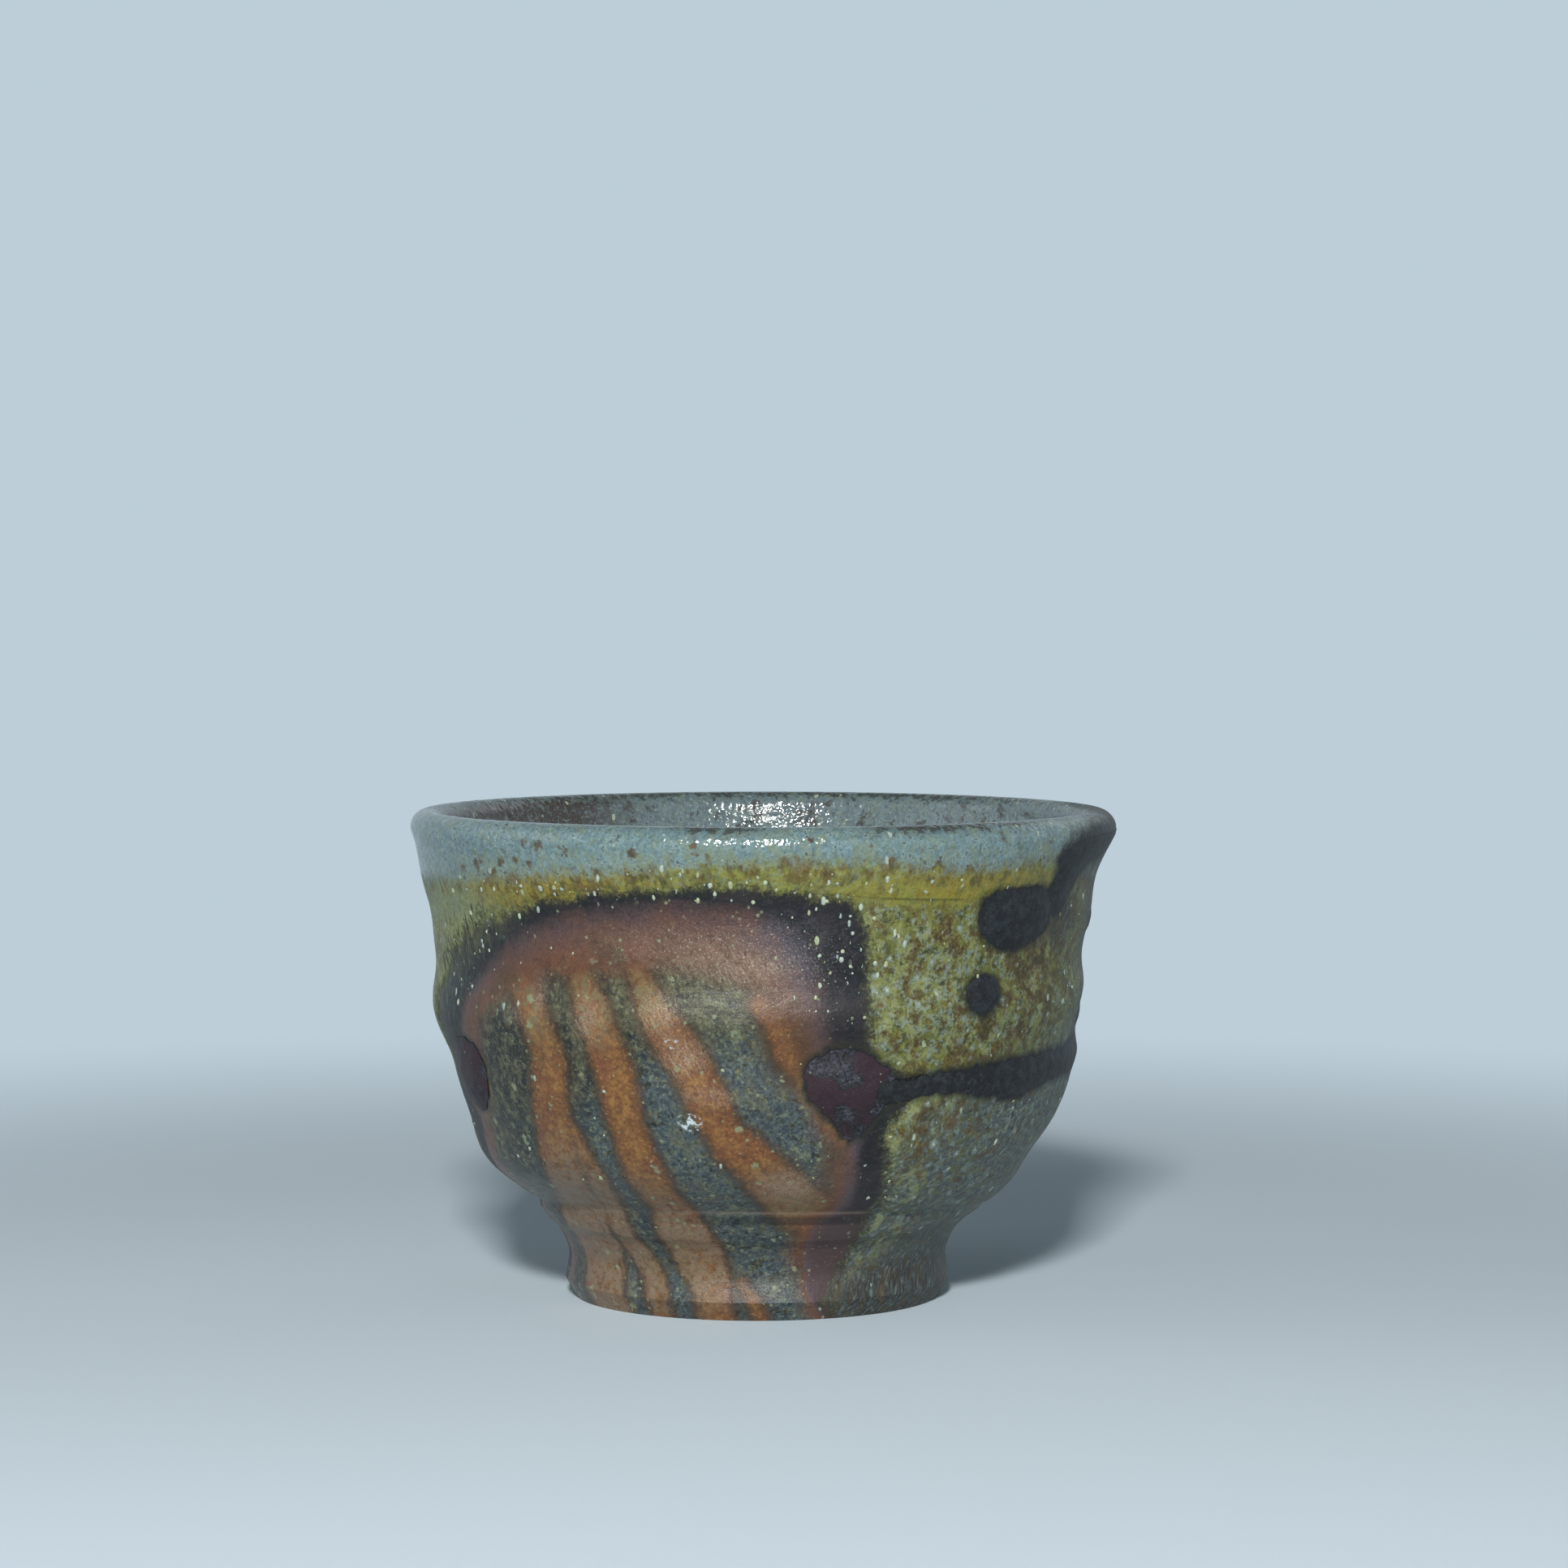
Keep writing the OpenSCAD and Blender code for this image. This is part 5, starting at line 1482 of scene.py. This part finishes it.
class GuinomiDroplets(bpy.types.Operator):
    """Scatter droplets of ash glass where the ash glaze ends"""

    bl_idname = "guinomi.droplets"
    bl_label = "Ash droplets"

    def execute(self, context):
        form = Form(context.scene.guinomi_sizes)
        columns, rows = 240, np.linspace(0.01, 0.97, 60)
        angle, s = spread(angles_around(columns), rows).T
        marks = marks_of(angle, form.place(angle, form.section(s)))
        reach = marks["ash"]
        lift = np.where(reach > 0, SEAT + form.size.glaze_t * smooth(reach / FEATHER), 0)
        points = form.place(angle, form.proud(s, lift))
        drops = 0.08 * smooth(reach) * smooth(-marks["lip"]) + 0.03 * (reach < 0)
        drops += patches(*on_wall(angle, points), DROPS)
        drops[marks["glass"] > -0.4] = 0
        made = piece("ash_droplets", points, lattice(columns, len(rows)), {"drops": drops})
        grown(made, droplet_tree, {
            "Density": 8e5, "Least Width": 0.12 * MM, "Greatest Width": 0.55 * MM, "Flatness": 0.4,
            "Unevenness": 0.25 * MM, "Seed": 4, "Material": surface(ash_droplet_glass),
        })
        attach(made, "root")
        return {"FINISHED"}


class GuinomiStage(bpy.types.Operator):
    """Set up the pale sweep, the soft studio light and the camera"""

    bl_idname = "guinomi.stage"
    bl_label = "Stage"

    def execute(self, context):
        scene = context.scene
        flat_r, bend_r, wall_h, sides, bend_rows = 0.8, 0.35, 1.0, 96, 16
        bend = np.radians(np.linspace(0, 90, bend_rows))
        profile = [(0, 0), *zip(flat_r + bend_r * np.sin(bend), bend_r * (1 - np.cos(bend))), (flat_r + bend_r, wall_h)]
        rows = np.array(profile)
        around = np.radians(np.arange(sides) * 360 / sides)
        points = np.stack([
            np.outer(np.cos(around), rows[:, 0]), np.outer(np.sin(around), rows[:, 0]), np.tile(rows[:, 1], (sides, 1)),
        ], -1).reshape(-1, 3)
        sweep = piece("pale_sweep", points / MM, lattice(sides, len(rows)), {})
        weld(sweep)
        sweep.data.flip_normals()
        sweep.data.shade_smooth()
        sweep.data.materials.append(surface(backdrop_paper))

        # Lamps as name, place, width, height, watts and tint. The small key
        # lamp stands over the camera, and all of them aim at the cup's middle.
        aim = [0, 0, 0.03]
        for name, place, width, height, power, tint in (
            ("key", (-0.04, -0.66, 0.37), 0.09, 0.08, 5.6, (1, 0.985, 0.96)),
            ("left", (-0.62, -0.05, 0.3), 0.4, 0.4, 0.38, (0.98, 0.99, 1)),
            ("back", (0.45, 0.5, 0.5), 0.4, 0.4, 0.25, (1, 0.97, 0.93)),
        ):
            lamp = bpy.data.lights.new(name, "AREA")
            lamp.shape, lamp.size, lamp.size_y, lamp.energy, lamp.color = "RECTANGLE", width, height, power, tint
            light = bpy.data.objects.new(name, lamp)
            light.location = place
            direction = np.array(aim) - place
            yaw, tilt = math.atan2(direction[1], direction[0]), math.atan2(math.hypot(*direction[:2]), -direction[2])
            light.rotation_euler = (tilt, 0, yaw - math.pi / 2)
            light.visible_camera = False
            scene.collection.objects.link(light)

        scene.world = bpy.data.worlds.new("studio")
        scene.world.use_nodes = True
        fill = scene.world.node_tree.nodes["Background"].inputs
        fill["Color"].default_value, fill["Strength"].default_value = (0.92, 0.86, 0.8, 1), 0.062
        scene.view_settings.view_transform = "Standard"

        # The camera stands 460 mm in front of the cup and 73 mm above the
        # table, and looks down a little, as in the photograph
        focal_px, image_px, down = 5300, 1932, 2.32
        camera = bpy.data.cameras.new("camera")
        camera.sensor_width = 36
        camera.lens = focal_px / image_px * camera.sensor_width
        camera.clip_start, camera.clip_end = 0.01, 10
        viewer = bpy.data.objects.new("camera", camera)
        viewer.location = (2.26 * MM, -460 * MM, 73.2 * MM)
        viewer.rotation_euler = (math.radians(90 - down), 0, 0)
        scene.collection.objects.link(viewer)
        scene.camera = viewer
        return {"FINISHED"}


class GuinomiPanel(bpy.types.Panel):
    """The panel with the cup's sizes, colours and pieces"""

    bl_idname = "VIEW3D_PT_guinomi"
    bl_label = "Guinomi"
    bl_space_type = "VIEW_3D"
    bl_region_type = "UI"
    bl_category = "Guinomi"

    def draw(self, context):
        layout = self.layout
        for operator in OPERATORS:
            layout.operator(operator.bl_idname)
        for group in (context.scene.guinomi_sizes, context.scene.guinomi_colours):
            box = layout.box()
            for key in group.__annotations__:
                box.prop(group, key)


OPERATORS = (
    GuinomiBowl, GuinomiFoot, GuinomiLipGlass, GuinomiAshGlaze, GuinomiLining, GuinomiBeads, GuinomiRuns,
    GuinomiDroplets, GuinomiStage,
)
CLASSES = (GuinomiSizes, GuinomiColours, *OPERATORS, GuinomiPanel)


def register():
    """Registers the classes and the groups of sizes and colours."""
    for cls in CLASSES:
        bpy.utils.register_class(cls)
    bpy.types.Scene.guinomi_sizes = PointerProperty(type=GuinomiSizes)
    bpy.types.Scene.guinomi_colours = PointerProperty(type=GuinomiColours)


def unregister():
    """Takes the groups and the classes away again."""
    del bpy.types.Scene.guinomi_colours
    del bpy.types.Scene.guinomi_sizes
    for cls in reversed(CLASSES):
        bpy.utils.unregister_class(cls)


def main():
    register()
    bpy.ops.guinomi.stage()
    bpy.ops.guinomi.bowl()
    bpy.ops.guinomi.foot()
    bpy.ops.guinomi.lip_glass()
    bpy.ops.guinomi.ash_glaze()
    bpy.ops.guinomi.lining()
    bpy.ops.guinomi.beads()
    bpy.ops.guinomi.runs()
    bpy.ops.guinomi.droplets()


if __name__ == "__main__":
    main()
